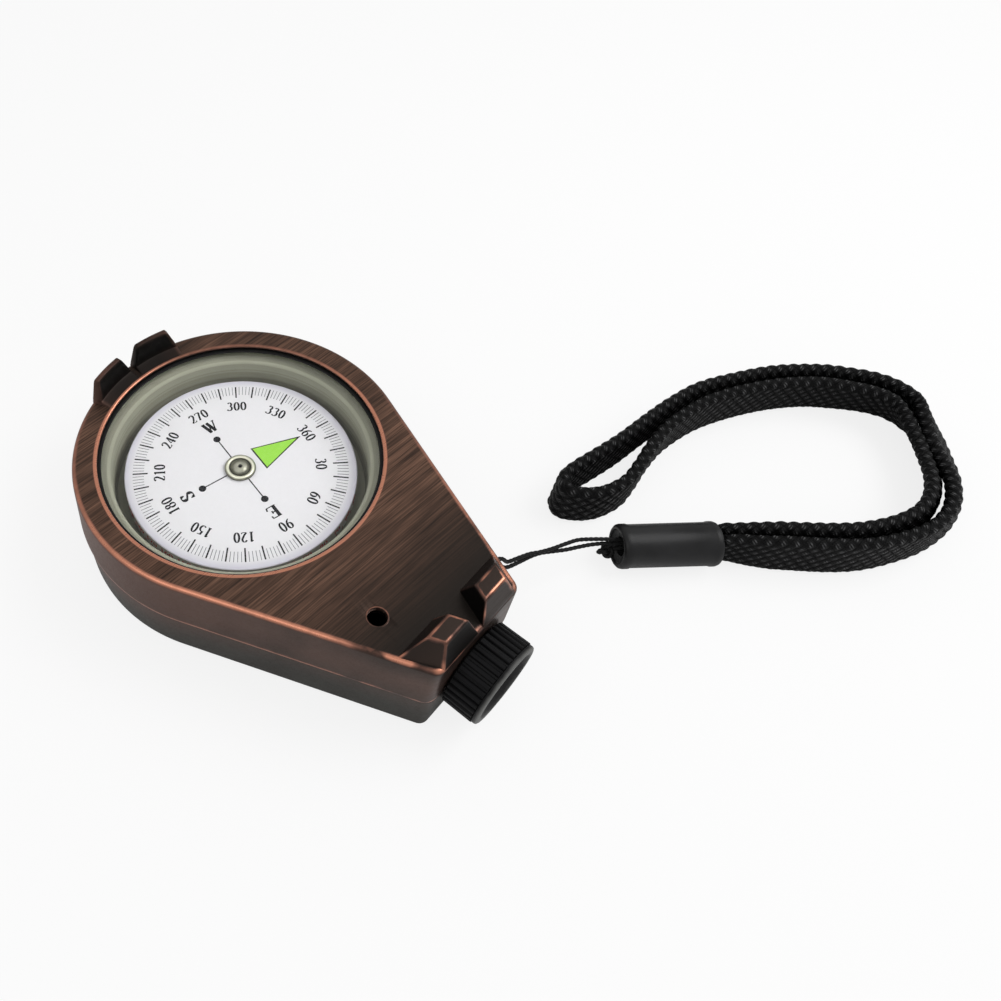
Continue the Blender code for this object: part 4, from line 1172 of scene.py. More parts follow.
@dataclass
class SightEars:
    """The two front ears on the head's rim and the two rear ears with the notch between them."""

    shells: CaseShells
    front_height: float = 3.9
    front_inner_angle: float = 0.9
    front_outer_angle: float = 20.7
    front_lean: float = 3.2
    front_thickness: float = 1.0
    front_foot: float = 1.75
    front_ramp_radius: float = 23.45
    front_ramp_height: float = 0.45
    front_inset: float = 0.06
    rear_height: float = 3.8
    rear_front: float = 40.5
    rear_ramp: float = 1.9
    rear_top_length: float = 2.5
    rear_outer_inset: float = 0.5
    rear_outer_lean: float = 2.6
    rear_edge: float = 0.12
    notch_front: float = 2.95
    notch_back: float = 0.45
    notch_lean: float = 0.85
    root: float = 0.55
    rounding: float = 0.28
    rounding_angles: tuple[int, ...] = (0, 22, 45, 68, 90)

    def sector(self, inner: float, outer: float, start: float, end: float, corner: float) -> Loop:
        """Piece of a ring wall with round corners; angles count from +Y towards +X.

        Args:
            inner: Inner radius.
            outer: Outer radius.
            start: First angle in degrees.
            end: Last angle in degrees.
            corner: Radius of the corners.

        Returns:
            The points, their wear and their soot.
        """
        points, wear, soot = [], [], []

        def add(radius: float, angle: float, turn: float | None, worn: float, black: float) -> None:
            """Add one point, moved by the corner's radius in a direction."""
            a = radians(angle)
            x, y = radius * sin(a), radius * cos(a)
            if turn is not None:
                t = radians(turn)
                x, y = x + corner * sin(a + t), y + corner * cos(a + t)
            points.append((x, y))
            wear.append(worn)
            soot.append(black)

        reach = degrees(corner / outer)
        begin, stop = start + reach, end - reach
        corners = ((outer - corner, stop, 0, 0.0), (inner + corner, stop, 90, 0.35),
                   (inner + corner, begin, 180, 1.0), (outer - corner, begin, 270, 0.35))
        walls = {90: (inner, stop, begin - stop, 1.0), 270: (outer, begin, stop - begin, 0.0)}
        for radius, angle, first, black in corners:
            for step in range(5):
                add(radius, angle, first + 22.5 * step, 0.9, black)
            if first in walls:
                radius, angle, sweep, black = walls[first]
                for step in range(1, 16):
                    add(radius, angle + sweep * step / 16, None, 0.0, black)
        return points, wear, soot

    def build_front(self, side: Side) -> Object:
        """Build one front ear.

        Args:
            side: The side on which it stands.

        Returns:
            The ear.
        """
        top = self.shells.height
        outer = self.shells.head_radius - self.front_inset
        foot = top + self.front_ramp_height
        summit = top + self.front_height
        foot_inner = outer - self.front_foot
        summit_inner = outer - self.front_thickness
        foot_lean = self.front_lean * self.front_ramp_height / self.front_height
        levels = [(top - self.root, self.front_ramp_radius, 0.0, 0.0, 0.0),
                  (top, self.front_ramp_radius, 0.0, 0.0, 0.0),
                  (top + 0.06, self.front_ramp_radius + 0.12, 0.05, 0.0, 0.3),
                  (foot - 0.08, foot_inner - 0.2, foot_lean, 0.0, 0.3),
                  (foot + 0.08, foot_inner + 0.04, foot_lean, 0.0, 0.3)]
        for share in (0.25, 0.6, 0.85):
            levels.append((foot + (summit - foot) * share, foot_inner + (summit_inner - foot_inner) * share,
                           foot_lean + (self.front_lean - foot_lean) * share, 0.0, 0.0))
        for angle in self.rounding_angles:
            inset, rise = round_over(self.rounding, angle)
            levels.append((summit + rise - self.rounding, summit_inner, self.front_lean, inset,
                           0.45 + 0.55 * angle / 90))
        walls = []
        for height, inner, lean, inset, worn in levels:
            lean += degrees(inset / outer)
            points, wear, soot = self.sector(inner + inset, outer - inset, self.front_inner_angle + lean,
                                             self.front_outer_angle - lean, 0.22)
            walls.append(([(side.value * x, y) for x, y in points], height,
                          [max(value * 0.75, worn) for value in wear],
                          [value * (1 - 0.8 * worn) for value in soot]))
        return Draft().stack(walls).finish("front_ear_" + side.name.lower())

    def build_rear(self, side: Side) -> Object:
        """Build one rear ear.

        Args:
            side: The side on which it stands.

        Returns:
            The ear.
        """
        side_x = self.shells.side_x
        inset, lean = self.rear_outer_inset, self.rear_outer_lean
        front = -self.rear_front
        back = self.rear_edge - self.shells.tail_reach
        base = [(self.notch_front, front), (side_x(front, inset), front),
                (side_x(back, inset) - inset, back), (self.notch_back, back)]
        top_front = front - self.rear_ramp
        top_back = top_front - self.rear_top_length
        notch = [self.notch_front - (self.notch_front - self.notch_back) * (front - place) / (front - back)
                 + self.notch_lean for place in (top_front, top_back)]
        top = [(notch[0], top_front), (side_x(top_front, inset) - lean, top_front),
               (side_x(top_back, inset) - lean, top_back), (notch[1], top_back)]
        # Black patina on the notch walls; the left ear's rear face is painted dark as shadow, the right one's
        # is not.
        black = (0.1, 0.0, 0.1 if side is Side.RIGHT else 0.9, 0.95)
        start = self.shells.height - 0.3
        summit = self.shells.height + self.rear_height
        levels = [(start - 0.3, 0.0, 0.0, 0.0), (start, 0.0, 0.0, 0.0)]
        for share in (0.12, 0.5, 0.85):
            levels.append((start + (summit - start) * share, share, 0.0, 0.0))
        for angle in self.rounding_angles:
            inset, rise = round_over(self.rounding, angle)
            height = summit + rise - self.rounding
            levels.append((height, (height - start) / (summit - start), inset, 0.5 + 0.5 * angle / 90))
        levels += [(summit, 1.0, self.rounding + 0.2, 0.3), (summit, 1.0, self.rounding + 0.4, 0.0)]
        walls = []
        for height, share, inset, worn in levels:
            points, wear, soot = rounded_loop(blend_points(base, top, share), 0.25, inset, black)
            flat = inset > self.rounding
            walls.append(([(side.value * x, y) for x, y in points], height,
                          [worn if flat else max(value * 0.8, worn) for value in wear],
                          [0.0 if flat else value * (1 - 0.85 * worn) for value in soot]))
        return Draft().stack(walls).finish("rear_ear_" + side.name.lower())

    def assemble(self) -> None:
        """Build and dress the four ears."""
        finish = AntiqueCopper(brushed_height=99)
        for side in Side:
            for ear in (self.build_front(side), self.build_rear(side)):
                dress(ear, finish, Body.CASE)


@dataclass
class Capsule:
    """The sealed capsule: clear window and fluid, green cup and black gasket."""

    radius: float = 24.2
    bore: float = 21.0
    window_top: float = 17.9
    cup_top: float = 16.25
    cup_bottom: float = 3.0
    cup_floor: float = 4.5
    recess_radius: float = 8.75
    gasket_inner: float = 22.4
    gasket_low: float = 18.05
    gasket_high: float = 18.35
    sink: float = 0.06

    def build_window(self) -> Object:
        """Build the window with the clear fluid under it as one body.

        Returns:
            The window.
        """
        high, top, foot = self.window_top, self.cup_top, self.cup_floor
        low, inner, bore = top - self.sink, self.bore + self.sink, self.bore
        profile = [(0, high), (self.radius - 0.1, high), (self.radius, high - 0.1), (self.radius, low),
                   (bore + 0.9, low), (bore + 0.52, top - 0.16), (bore + 0.2, top - 0.4), (inner, top - 0.95),
                   (inner, foot + 0.86), (bore - 0.16, foot + 0.16), (bore - 0.8, foot - self.sink),
                   (0, foot - self.sink)]
        return Draft().turn(profile, 192).finish("window_and_fluid", sharp=20)

    def build_cup(self) -> Object:
        """Build the cup with a rounded inner edge.

        Returns:
            The cup.
        """
        top, foot, under, bore = self.cup_top, self.cup_floor, self.cup_bottom, self.bore
        profile = [(0, foot), (bore - 0.8, foot), (bore - 0.2, foot + 0.2), (bore, foot + 0.8),
                   (bore, top - 0.9), (bore + 0.12, top - 0.35), (bore + 0.45, top - 0.08), (bore + 0.9, top),
                   (self.radius - 0.2, top), (self.radius, top - 0.2), (self.radius, under),
                   (self.recess_radius, under), (self.recess_radius, under + 0.9), (0, under + 0.9)]
        return Draft().turn(profile, 192).finish("cup_wall", sharp=50)

    def build_gasket(self) -> Object:
        """Build the gasket with round edges.

        Returns:
            The gasket.
        """
        inner, low, high = self.gasket_inner, self.gasket_low, self.gasket_high
        profile = [(inner, high - 0.1), (inner + 0.1, high), (self.radius, high), (self.radius, low),
                   (inner + 0.1, low), (inner, low + 0.1)]
        return Draft().turn(profile, 192).finish("gasket_ring")

    def assemble(self) -> None:
        """Build and dress the capsule, and paint the pieces that stay."""
        dress(self.build_window(), Clear(), Body.CASE, ["window"])
        dress(self.build_cup(), OliveCup(), Body.CASE, ["capsule_cup"])
        dress(self.build_gasket(), Moulded((0.006, 0.006, 0.006), 0.6), Body.CASE,
              ["window_gasket"])
        rubber = Moulded((0.02, 0.02, 0.02), 0.75)
        for node in ("capsule_cushion", "diaphragm", "filler_plug", "diaphragm_ring"):
            paint_node(node, rubber)
        paint_node("pivot_post", Metal((0.6, 0.5, 0.28)))
        paint_node("pivot_pin", Metal((0.5, 0.5, 0.5)))
        paint_node("sight_plate", Clear())


def glyph_strokes(sign: str) -> list[list[Point2]]:
    """Strokes of one serif sign, drawn with a pen that is broad on upright strokes.

    A stroke is a list of points in a cell that is 1 high; figures are about half as wide. A stroke
    of two points is a serif or a thin upstroke.

    Args:
        sign: A figure from 0 to 9, or E, S or W.

    Returns:
        The strokes.
    """
    six = [arc((0.25, 0.31), (0.19, 0.28), 0, 360, 28), arc((0.49, 0.33), (0.43, 0.64), 182, 98, 14)]
    shapes = {
        "0": [arc((0.25, 0.5), (0.2, 0.47), 0, 360, 32)],
        "1": [[(0.27, 0.0), (0.27, 0.5), (0.27, 0.98)], [(0.27, 0.95), (0.19, 0.87), (0.1, 0.84)],
              [(0.12, 0.02), (0.27, 0.02), (0.42, 0.02)]],
        "2": [arc((0.23, 0.73), (0.18, 0.24), 165, -22, 16) + [(0.24, 0.28), (0.05, 0.05)],
              [(0.04, 0.04), (0.25, 0.04), (0.42, 0.04)], [(0.43, 0.03), (0.47, 0.17)]],
        "3": [arc((0.22, 0.76), (0.16, 0.21), 155, -85, 16),
              arc((0.2, 0.29), (0.22, 0.27), 80, -150, 18)],
        "4": [[(0.35, 0.0), (0.35, 0.5), (0.35, 0.98)], [(0.34, 0.95), (0.03, 0.29)],
              [(0.03, 0.28), (0.25, 0.28), (0.48, 0.28)]],
        "5": [[(0.44, 0.95), (0.3, 0.94), (0.15, 0.94)], [(0.16, 0.94), (0.14, 0.75), (0.11, 0.58)],
              arc((0.19, 0.32), (0.22, 0.29), 112, -140, 20)],
        "6": six,
        "7": [[(0.05, 0.94), (0.25, 0.94), (0.46, 0.94)], [(0.45, 0.93), (0.3, 0.45), (0.18, 0.0)],
              [(0.06, 0.95), (0.04, 0.8)]],
        "8": [arc((0.25, 0.75), (0.15, 0.21), 0, 360, 26), arc((0.25, 0.28), (0.2, 0.26), 0, 360, 28)],
        "9": [[(0.5 - x, 1 - y) for x, y in stroke] for stroke in six],
        "E": [[(0.2, 0.0), (0.2, 0.5), (0.2, 1.0)], [(0.04, 0.97), (0.4, 0.97), (0.72, 0.97)],
              [(0.2, 0.51), (0.36, 0.51), (0.5, 0.51)], [(0.04, 0.03), (0.4, 0.03), (0.74, 0.03)],
              [(0.7, 0.98), (0.73, 0.76)], [(0.5, 0.62), (0.5, 0.38)], [(0.72, 0.02), (0.78, 0.27)]],
        "S": [arc((0.33, 0.74), (0.21, 0.23), 20, 215, 18)
              + arc((0.33, 0.27), (0.23, 0.24), 35, -155, 18),
              [(0.52, 0.7), (0.54, 0.98)], [(0.11, 0.3), (0.09, 0.02)]],
        "W": [[(0.12, 0.97), (0.25, 0.5), (0.37, 0.03)], [(0.36, 0.02), (0.55, 0.78)],
              [(0.46, 0.97), (0.6, 0.5), (0.73, 0.03)], [(0.72, 0.02), (0.96, 0.97)],
              [(0.0, 0.98), (0.14, 0.98), (0.28, 0.98)], [(0.4, 0.98), (0.6, 0.98)],
              [(0.84, 0.98), (0.95, 0.98), (1.06, 0.98)]],
    }
    return shapes[sign]


def write_glyphs(draft: Draft, text: str, height: float, advance: float, pen: Point2,
                 place: Place, lift: Point2) -> None:
    """Write a line of signs as thin raised ribbons, centred on its place.

    Args:
        draft: The mesh that takes them.
        text: The signs.
        height: Height of a sign.
        advance: Distance from one sign to the next, as a share of the height.
        pen: Thin and broad width of the pen, as shares of the height.
        place: Gives the point for x to the right, y upward and a lift.
        lift: Lift of the ribbons' underside and top.
    """
    width = (len(text) - 1) * advance + (0.5 if text.isdigit() else 0.66)
    for index, sign in enumerate(text):
        for stroke in glyph_strokes(sign):
            run = np.array(stroke, float)
            thickest = pen[1]
            if len(run) == 2:
                run = np.array([run[0], run.mean(0), run[1]])
                thickest = pen[0] * 1.4
            closed = np.allclose(run[0], run[-1])
            slope = np.gradient(run, axis=0)
            if closed:
                slope[0] = slope[-1] = run[1] - run[-2]
            slope /= np.linalg.norm(slope, axis=1)[:, None]
            broad = pen[0] + (thickest - pen[0]) * np.abs(slope[:, 1]) ** 1.5
            across = np.column_stack((-slope[:, 1], slope[:, 0])) * broad[:, None] / 2
            shift = np.array((index * advance - width / 2, -0.5))
            left, right = (run + across + shift) * height, (run - across + shift) * height
            sections = []
            for a, b in zip(left, right):
                points = [place(*a, lift[0]), place(*b, lift[0]), place(*b, lift[1]), place(*a, lift[1])]
                sections.append(draft.ring(points))
            if closed:
                sections = sections[:-1]
            draft.loft(sections, closed=closed)


@dataclass
class CompassCard:
    """The turning card with its print, hub, jewel and magnet."""

    radius: float = 19.17
    height: float = 11.56
    skirt_depth: float = 4.6
    skirt_wall: float = 0.6
    bore: float = 1.75
    north: float = -13.27
    tick_outer: float = 17.8
    long_tick_inner: float = 15.3
    fine_tick_inner: float = 15.95
    number_radius: float = 13.35
    number_height: float = 1.85
    letter_radius: float = 10.15
    letter_height: float = 2.3
    dot_radius: float = 7.3
    dot_size: float = 0.62
    arrow_half_width: float = 2.36
    arrow_foot: float = 3.75
    arrow_tip: float = 11.7
    skirt_tick_heights: Point2 = (7.1, 8.3)
    skirt_number_height: float = 9.6
    ink_lift: Point2 = (-0.03, 0.03)
    black: Finish = Ink()
    grey: Finish = Ink((0.16, 0.16, 0.18), thin=(0.3, 0.3, 0.33))
    green: Finish = Ink((0.33, 0.72, 0.075), thin=(0.36, 0.74, 0.1))
    red: Finish = Ink((0.35, 0.02, 0.02), thin=(0.42, 0.1, 0.09))

    def around(self, bearing: float, radius: float) -> Place:
        """Place signs flat on the card, their tops outward.

        Args:
            bearing: Bearing of their middle.
            radius: Radius of their middle.

        Returns:
            A function that gives the point for x, y and a lift.
        """
        angle = radians(self.north - bearing)
        outward = Vector((cos(angle), sin(angle)))
        onward = Vector((sin(angle), -cos(angle)))

        def place(x: float, y: float, lift: float) -> Point3:
            """Point on the card's face."""
            point = outward * (radius + y) + onward * x
            return point.x, point.y, self.height + lift

        return place

    def on_skirt(self, bearing: float, height: float) -> Place:
        """Place signs on the skirt.

        Args:
            bearing: Bearing of their middle.
            height: Height of their middle.

        Returns:
            A function that gives the point for x, y and a lift.
        """

        def place(x: float, y: float, lift: float) -> Point3:
            """Point on the skirt's outside."""
            angle = radians(self.north - bearing) + x / self.radius
            radius = self.radius + lift
            return radius * cos(angle), radius * sin(angle), height + y

        return place

    def build_disc(self) -> Object:
        """Build the card with its skirt.

        Returns:
            The card.
        """
        top, outer, bore = self.height, self.radius, self.bore
        low, inner = top - self.skirt_depth, outer - self.skirt_wall
        profile = [(bore, top), (outer - 0.15, top), (outer, top - 0.12), (outer, low + 0.1),
                   (outer - 0.1, low), (inner + 0.1, low), (inner, low + 0.1), (inner, top - 0.6),
                   (bore, top - 0.6)]
        return Draft().turn(profile, 240).finish("card_disc")

    def tick(self, name: str, inner: float, width: float) -> Object:
        """Build one tick on +X."""
        plan = rectangle(inner, self.tick_outer, -width / 2, width / 2)
        return Draft().stack([(plan, self.height + lift) for lift in self.ink_lift]).finish(name)

    def build_ticks(self) -> list[Object]:
        """Build the long and the fine ticks.

        Returns:
            Both rings of ticks.
        """
        long_tick = self.tick("long_ticks", self.long_tick_inner, 0.25)
        fine_tick = self.tick("fine_ticks", self.fine_tick_inner, 0.1)
        return [repeat_round(long_tick, 36, -10, self.north, self.black),
                repeat_round(fine_tick, 180, -2, self.north, self.grey, skip=5)]

    def build_figures(self) -> Object:
        """Build numbers, letters, dots and the thin lines of the card.

        Returns:
            The print.
        """
        draft = Draft()
        for bearing in range(30, 361, 30):
            write_glyphs(draft, str(bearing), self.number_height, 0.63, (0.07, 0.18),
                         self.around(bearing, self.number_radius), self.ink_lift)
        dot = arc((0, 0), (self.dot_size, self.dot_size), 0, 345, 23)
        line = rectangle(-0.1, 0.1, -4.7, -0.3)
        for sign, bearing in (("E", 90), ("S", 180), ("W", 270)):
            write_glyphs(draft, sign, self.letter_height, 0.7, (0.075, 0.25),
                         self.around(bearing, self.letter_radius), self.ink_lift)
            place = self.around(bearing, self.dot_radius)
            for shape in (dot, line):
                draft.loft([draft.ring([place(*point, lift) for point in shape]) for lift in self.ink_lift])
        return draft.finish("card_figures", sharp=30)

    def build_arrow(self) -> list[Object]:
        """Build the north arrow.

        Returns:
            Its dark outline and its green face.
        """
        made = []
        place = self.around(0, 0)
        for name, border, lift in (("arrow_outline", 0.13, 0.03), ("arrow_face", -0.12, 0.045)):
            half, foot = self.arrow_half_width + border, self.arrow_foot - border
            shape = [(-half, foot), (half, foot), (0.0, self.arrow_tip + 3.2 * border)]
            draft = Draft()
            draft.loft([draft.ring([place(*point, level) for point in shape]) for level in (-0.03, lift)])
            made.append(draft.finish(name))
        return made

    def build_skirt_scale(self) -> Object:
        """Build the red numbers of the edge scale.

        Returns:
            The numbers.
        """
        draft = Draft()
        for bearing in range(10, 361, 10):
            write_glyphs(draft, str(bearing), 1.5, 0.6, (0.07, 0.17),
                         self.on_skirt(bearing, self.skirt_number_height), self.ink_lift)
        return draft.finish("skirt_figures", sharp=30)

    def build_skirt_ticks(self) -> Object:
        """Build the red ticks under the edge scale's numbers.

        Returns:
            The ticks.
        """
        plan = rectangle(self.radius - 0.03, self.radius + 0.03, -0.07, 0.07)
        tick = Draft().stack([(plan, height) for height in self.skirt_tick_heights]).finish("skirt_ticks")
        return repeat_round(tick, 72, -5, self.north, self.red)

    def build_hub(self) -> Object:
        """Build the hub: a washer, a groove and a domed cap with a small centre.

        Returns:
            The hub.
        """
        # Third values paint highlights on the rim and dome, fourth values the shade in the groove and the
        # dark centre.
        profile = [(0, 12.3, 0, 1), (0.24, 12.3, 0, 1), (0.32, 12.66, 0, 0.6), (0.42, 12.7, 0.3),
                   (0.7, 12.68, 0.3), (1.05, 12.6, 0.2), (1.35, 12.45, 0.1), (1.55, 12.25, 0, 0.3),
                   (1.66, 12.1, 0, 0.8), (1.76, 12.1, 0, 0.6), (1.84, 12.28, 1), (2.0, 12.38, 1),
                   (2.25, 12.36, 1), (2.45, 12.25, 0.5), (2.57, 12.1), (2.6, 11.95, 0, 0.3),
                   (2.6, 11.71, 0, 0.8), (1.6, 11.71), (1.6, 8.61), (1.1, 8.61), (1.1, 11.5), (0, 11.5)]
        return Draft().turn(profile, 96).finish("hub_turned", sharp=50)

    def assemble(self) -> None:
        """Build and dress the card."""
        dress(self.build_disc(), CardFace(), Body.CARD, ["compass_card"])
        for ticks in (*self.build_ticks(), self.build_skirt_ticks()):
            dress(ticks, None, Body.CARD)
        outline, face = self.build_arrow()
        for piece, ink in ((self.build_figures(), self.black), (outline, self.black), (face, self.green),
                           (self.build_skirt_scale(), self.red)):
            dress(piece, ink, Body.CARD)
        dress(self.build_hub(), HubMetal(), Body.CARD, ["card_hub"])
        paint_node("jewel_bearing", Moulded((0.4, 0.03, 0.1), 0.15))
        paint_node("card_magnet", Moulded((0.07, 0.07, 0.075), 0.5))


@dataclass
class Eyepiece:
    """The ribbed focusing ring, with the tube, barrel and lens that stay as packed."""

    height: float = 9.8
    start: float = 46.8
    end: float = 52.6
    root: float = 6.68
    rib_height: float = 0.42
    ribs: int = 36
    band: float = 0.8
    band_radius: float = 6.95
    opening: float = 4.55
    seat: float = 6.5
    bore: float = 5.28
    finish: Finish = Moulded((0.005, 0.005, 0.0055), 0.5, specular=0.1)

    def build_ring(self) -> Object:
        """Build the ring without its ribs.

        Returns:
            The ring, ready to take the ribs.
        """
        start, end, root, outer = self.start, self.end, self.root, self.band_radius
        band, opening = end - self.band, self.opening
        # Third values mark the end rim, painted grey as lit and rubbed.
        profile = [(self.seat, start), (root - 0.1, start), (root, start + 0.1), (root, band),
                   (outer - 0.12, band), (outer, band + 0.1), (outer, end - 0.35, 0.5),
                   (outer - 0.1, end - 0.12, 1.0),
                   (outer - 0.35, end, 1.0), (opening + 1.3, end, 0.6), (opening + 1.15, end - 0.08, 0.4),
                   (opening + 0.1, end - 0.95), (opening, end - 1.3), (self.bore, end - 1.32),
                   (self.bore, start + 1.3), (self.seat, start + 1.3)]
        return Draft().turn(profile, 180).finish("ring_body", along_eyepiece(self.height), 30)

    def build_ribs(self) -> Object:
        """Build the ribs round the ring.

        Returns:
            All ribs as one mesh.
        """
        half = 2 * pi * self.root / self.ribs * 0.27
        foot = half + 0.12
        top = self.root + self.rib_height
        low, skin = self.root - 0.15, self.root + 0.05
        section = [(low, -foot), (skin, -foot), (top - 0.1, -half), (top - 0.02, -half + 0.09), (top, 0.0),
                   (top - 0.02, half - 0.09), (top - 0.1, half), (skin, foot), (low, foot)]
        end = self.end - self.band - 0.05
        levels = []
        for place, drop in ((self.start + 0.02, 0.12), (self.start + 0.14, 0.0), (end, 0.0)):
            levels.append(([(max(radius - drop, low), across) for radius, across in section], place))
        rib = Draft().stack(levels).finish("ring_ribs")
        ribs = repeat_round(rib, self.ribs, 360 / self.ribs, 0, self.finish)
        ribs.data.transform(along_eyepiece(self.height))
        return ribs

    def assemble(self) -> None:
        """Build and dress the ring, and paint what stays."""
        dress(self.build_ring(), RingPlastic(), Body.RING, ["focus_ring"])
        dress(self.build_ribs(), None, Body.RING)
        for node in ("eyepiece_tube", "lens_barrel", "lens_retainer"):
            paint_node(node, self.finish)
        paint_node("eye_lens", Clear(index=1.5))


def tube(path: np.ndarray, radius: float, sides: int, draft: Draft,
         swell: Callable[[int, float], float] | None = None, closed: bool = False) -> None:
    """Sweep a round section along a path.

    Args:
        path: Points in millimetres.
        radius: Radius of the section.
        sides: Number of sides.
        draft: The mesh that takes it.
        swell: Gives a factor of the radius for a point's index and an angle.
        closed: Whether the path is a loop.
    """
    run = np.gradient(path, axis=0)
    if closed:
        run = np.roll(path, -1, axis=0) - np.roll(path, 1, axis=0)
    run /= np.linalg.norm(run, axis=1)[:, None]
    normal = np.cross(run[0], (0.0, 0.0, 1.0) if abs(run[0][2]) < 0.9 else (1.0, 0.0, 0.0))
    rings = []
    for index, (point, ahead) in enumerate(zip(path, run)):
        normal = normal - ahead * (normal @ ahead)
        normal /= np.linalg.norm(normal)
        other = np.cross(ahead, normal)
        ring = []
        for side in range(sides):
            angle = 2 * pi * side / sides
            size = radius * (swell(index, angle) if swell else 1.0)
            ring.append(tuple(point + size * (cos(angle) * normal + sin(angle) * other)))
        rings.append(draft.ring(ring))
    draft.loft(rings, closed=closed)


def smooth_path(route: Sequence[Sequence[float]], spacing: float) -> np.ndarray:
    """Evenly spaced points on a smooth curve through a route.

    Args:
        route: Points, each of any number of values whose first three are a place.
        spacing: Distance between the new points.

    Returns:
        The new points with all their values.
    """
    given = np.array(route, float)
    fine = []
    for index in range(len(given) - 1):
        before, start = given[max(index - 1, 0)], given[index]
        end, after = given[index + 1], given[min(index + 2, len(given) - 1)]
        bend, twist = 2 * before - 5 * start + 4 * end - after, 3 * start - before - 3 * end + after
        for step in range(24):
            t = step / 24
            fine.append(0.5 * (2 * start + (end - before) * t + bend * t * t + twist * t ** 3))
    fine.append(given[-1])
    fine = np.array(fine)
    travelled = np.concatenate(([0.0], np.cumsum(np.linalg.norm(np.diff(fine[:, :3], axis=0), axis=1))))
    goals = np.linspace(0.0, travelled[-1], max(int(travelled[-1] / spacing), 8) + 1)
    return np.column_stack([np.interp(goals, travelled, fine[:, column]) for column in range(fine.shape[1])])


def run_length(path: np.ndarray) -> float:
    """Length of a path in millimetres."""
    return float(np.linalg.norm(np.diff(path[:, :3], axis=0), axis=1).sum())


@dataclass
class WristStrap:
    """Lanyard eye, thin doubled cord with its knot, sleeve and the flat braid."""

    shells: CaseShells
    eye_height: float = 12.3
    eye_place: float = -31.35
    eye_radius: float = 1.9
    eye_wire: float = 0.5
    eye_depth: float = 1.3
    cord_radius: float = 0.35
    sleeve_start: Point2 = (35.9, -51.2)
    sleeve_heading: float = -45.0
    sleeve_length: float = 16.0
    sleeve_radius: float = 3.75
    knot_centre: Point3 = (34.9, -50.2, 2.55)
    knot_radius: float = 1.45
    knot_tails: tuple[tuple[Point3, ...], ...] = (
        ((34.9, -50.2, 2.6), (34.95, -50.1, 3.4), (35.4, -50.35, 4.1), (36.1, -51.0, 4.35),
         (36.9, -51.9, 4.3)),
        ((34.9, -50.2, 2.6), (35.3, -50.7, 3.0), (36.2, -51.6, 3.4), (36.7, -52.15, 3.55),
         (37.2, -52.7, 3.6)))
    strap_width: float = 8.5
    strap_thickness: float = 2.0
    strap_lift: float = 0.06
    section_steps: int = 72
    squeeze: float = 0.74
    squeeze_length: float = 9.0
    braid_depth: float = 0.3
    braid_cells: int = 9
    cord_route: tuple[Point3, ...] = (
        (36.9, -51.45, 4.9), (35.26, -49.87, 5.3), (32.84, -47.73, 5.8), (30.78, -46.33, 6.4),
        (28.42, -45.45, 7.1), (25.69, -44.51, 7.8), (23.31, -43.54, 8.5), (21.63, -42.67, 9.0),
        (19.64, -41.99, 9.6), (17.2, -41.24, 10.4), (15.9, -40.95, 12.2), (15.2, -40.7, 13.1),
        (14.3, -40.36, 13.5), (13.5, -40.0, 13.15), (13.2, -39.88, 12.3), (13.5, -40.0, 11.4),
        (14.3, -40.36, 11.05), (15.6, -40.95, 10.4), (17.04, -41.6, 9.4), (19.65, -42.3, 8.7),
        (21.9, -42.85, 8.1), (23.8, -43.55, 7.6), (25.9, -44.7, 6.9), (28.1, -45.95, 6.2),
        (30.5, -47.1, 5.5), (32.87, -48.4, 4.9), (35.3, -50.2, 4.4), (36.7, -51.6, 4.1))
    strap_route: tuple[tuple[float, ...], ...] = (
        (46.63, -63.51), (48.0, -65.0), (50.2, -68.3), (53.8, -72.9), (57.7, -77.6), (61.4, -81.1),
        (66.0, -84.1), (71.2, -86.5, 3), (77.2, -87.4, 14), (82.7, -86.5, 30), (87.2, -84.4, 42),
        (91.1, -81.5, 46), (95.1, -78.5, 42), (98.0, -75.3, 34), (98.4, -71.0, 25), (97.2, -66.8, 18),
        (94.7, -62.5, 13), (91.6, -58.2, 9), (85.8, -52.6, 5), (78.9, -48.1, 2), (73.1, -45.0),
        (67.4, -43.3), (61.3, -42.1), (53.5, -40.9), (47.7, -39.6), (42.7, -38.4), (39.6, -38.1),
        (38.0, -39.0), (37.6, -40.3), (38.4, -41.9), (39.9, -43.6), (42.3, -45.1), (46.2, -46.2),
        (50.8, -46.0), (55.2, -45.5), (61.0, -45.4), (66.9, -46.4), (72.0, -48.0), (78.0, -51.1, -2),
        (83.9, -55.1, -5), (88.7, -59.6, -9), (91.6, -63.8, -14), (93.9, -68.0, -20), (94.8, -71.5, -28),
        (94.2, -74.2, -36), (92.6, -76.6, -42), (89.5, -79.5, -44), (85.8, -81.8, -40), (81.8, -83.5, -30),
        (77.1, -84.3, -16), (72.3, -83.7, -6), (67.8, -81.8, -2), (63.4, -78.8), (59.9, -75.6),
        (55.9, -71.1), (52.3, -66.8), (49.6, -63.6), (48.21, -61.93))

    def strap_section(self) -> tuple[list[Point2], float]:
        """Flat section of the strap with round edges.

        Returns:
            Its points, thickness first, and its length all round.
        """
        thick = self.strap_thickness / 2 - self.braid_depth * 0.6
        flat = self.strap_width / 2 - self.braid_depth * 0.6 - thick
        bow = pi * thick
        whole = 2 * bow + 4 * flat
        section = []
        for step in range(self.section_steps):
            run = whole * step / self.section_steps
            if run < 2 * flat:
                section.append((thick, run - flat))
            elif run < 2 * flat + bow:
                angle = (run - 2 * flat) / thick
                section.append((thick * cos(angle), flat + thick * sin(angle)))
            elif run < 4 * flat + bow:
                section.append((-thick, flat - (run - 2 * flat - bow)))
            else:
                angle = (run - 4 * flat - bow) / thick
                section.append((-thick * cos(angle), -flat - thick * sin(angle)))
        return section, whole

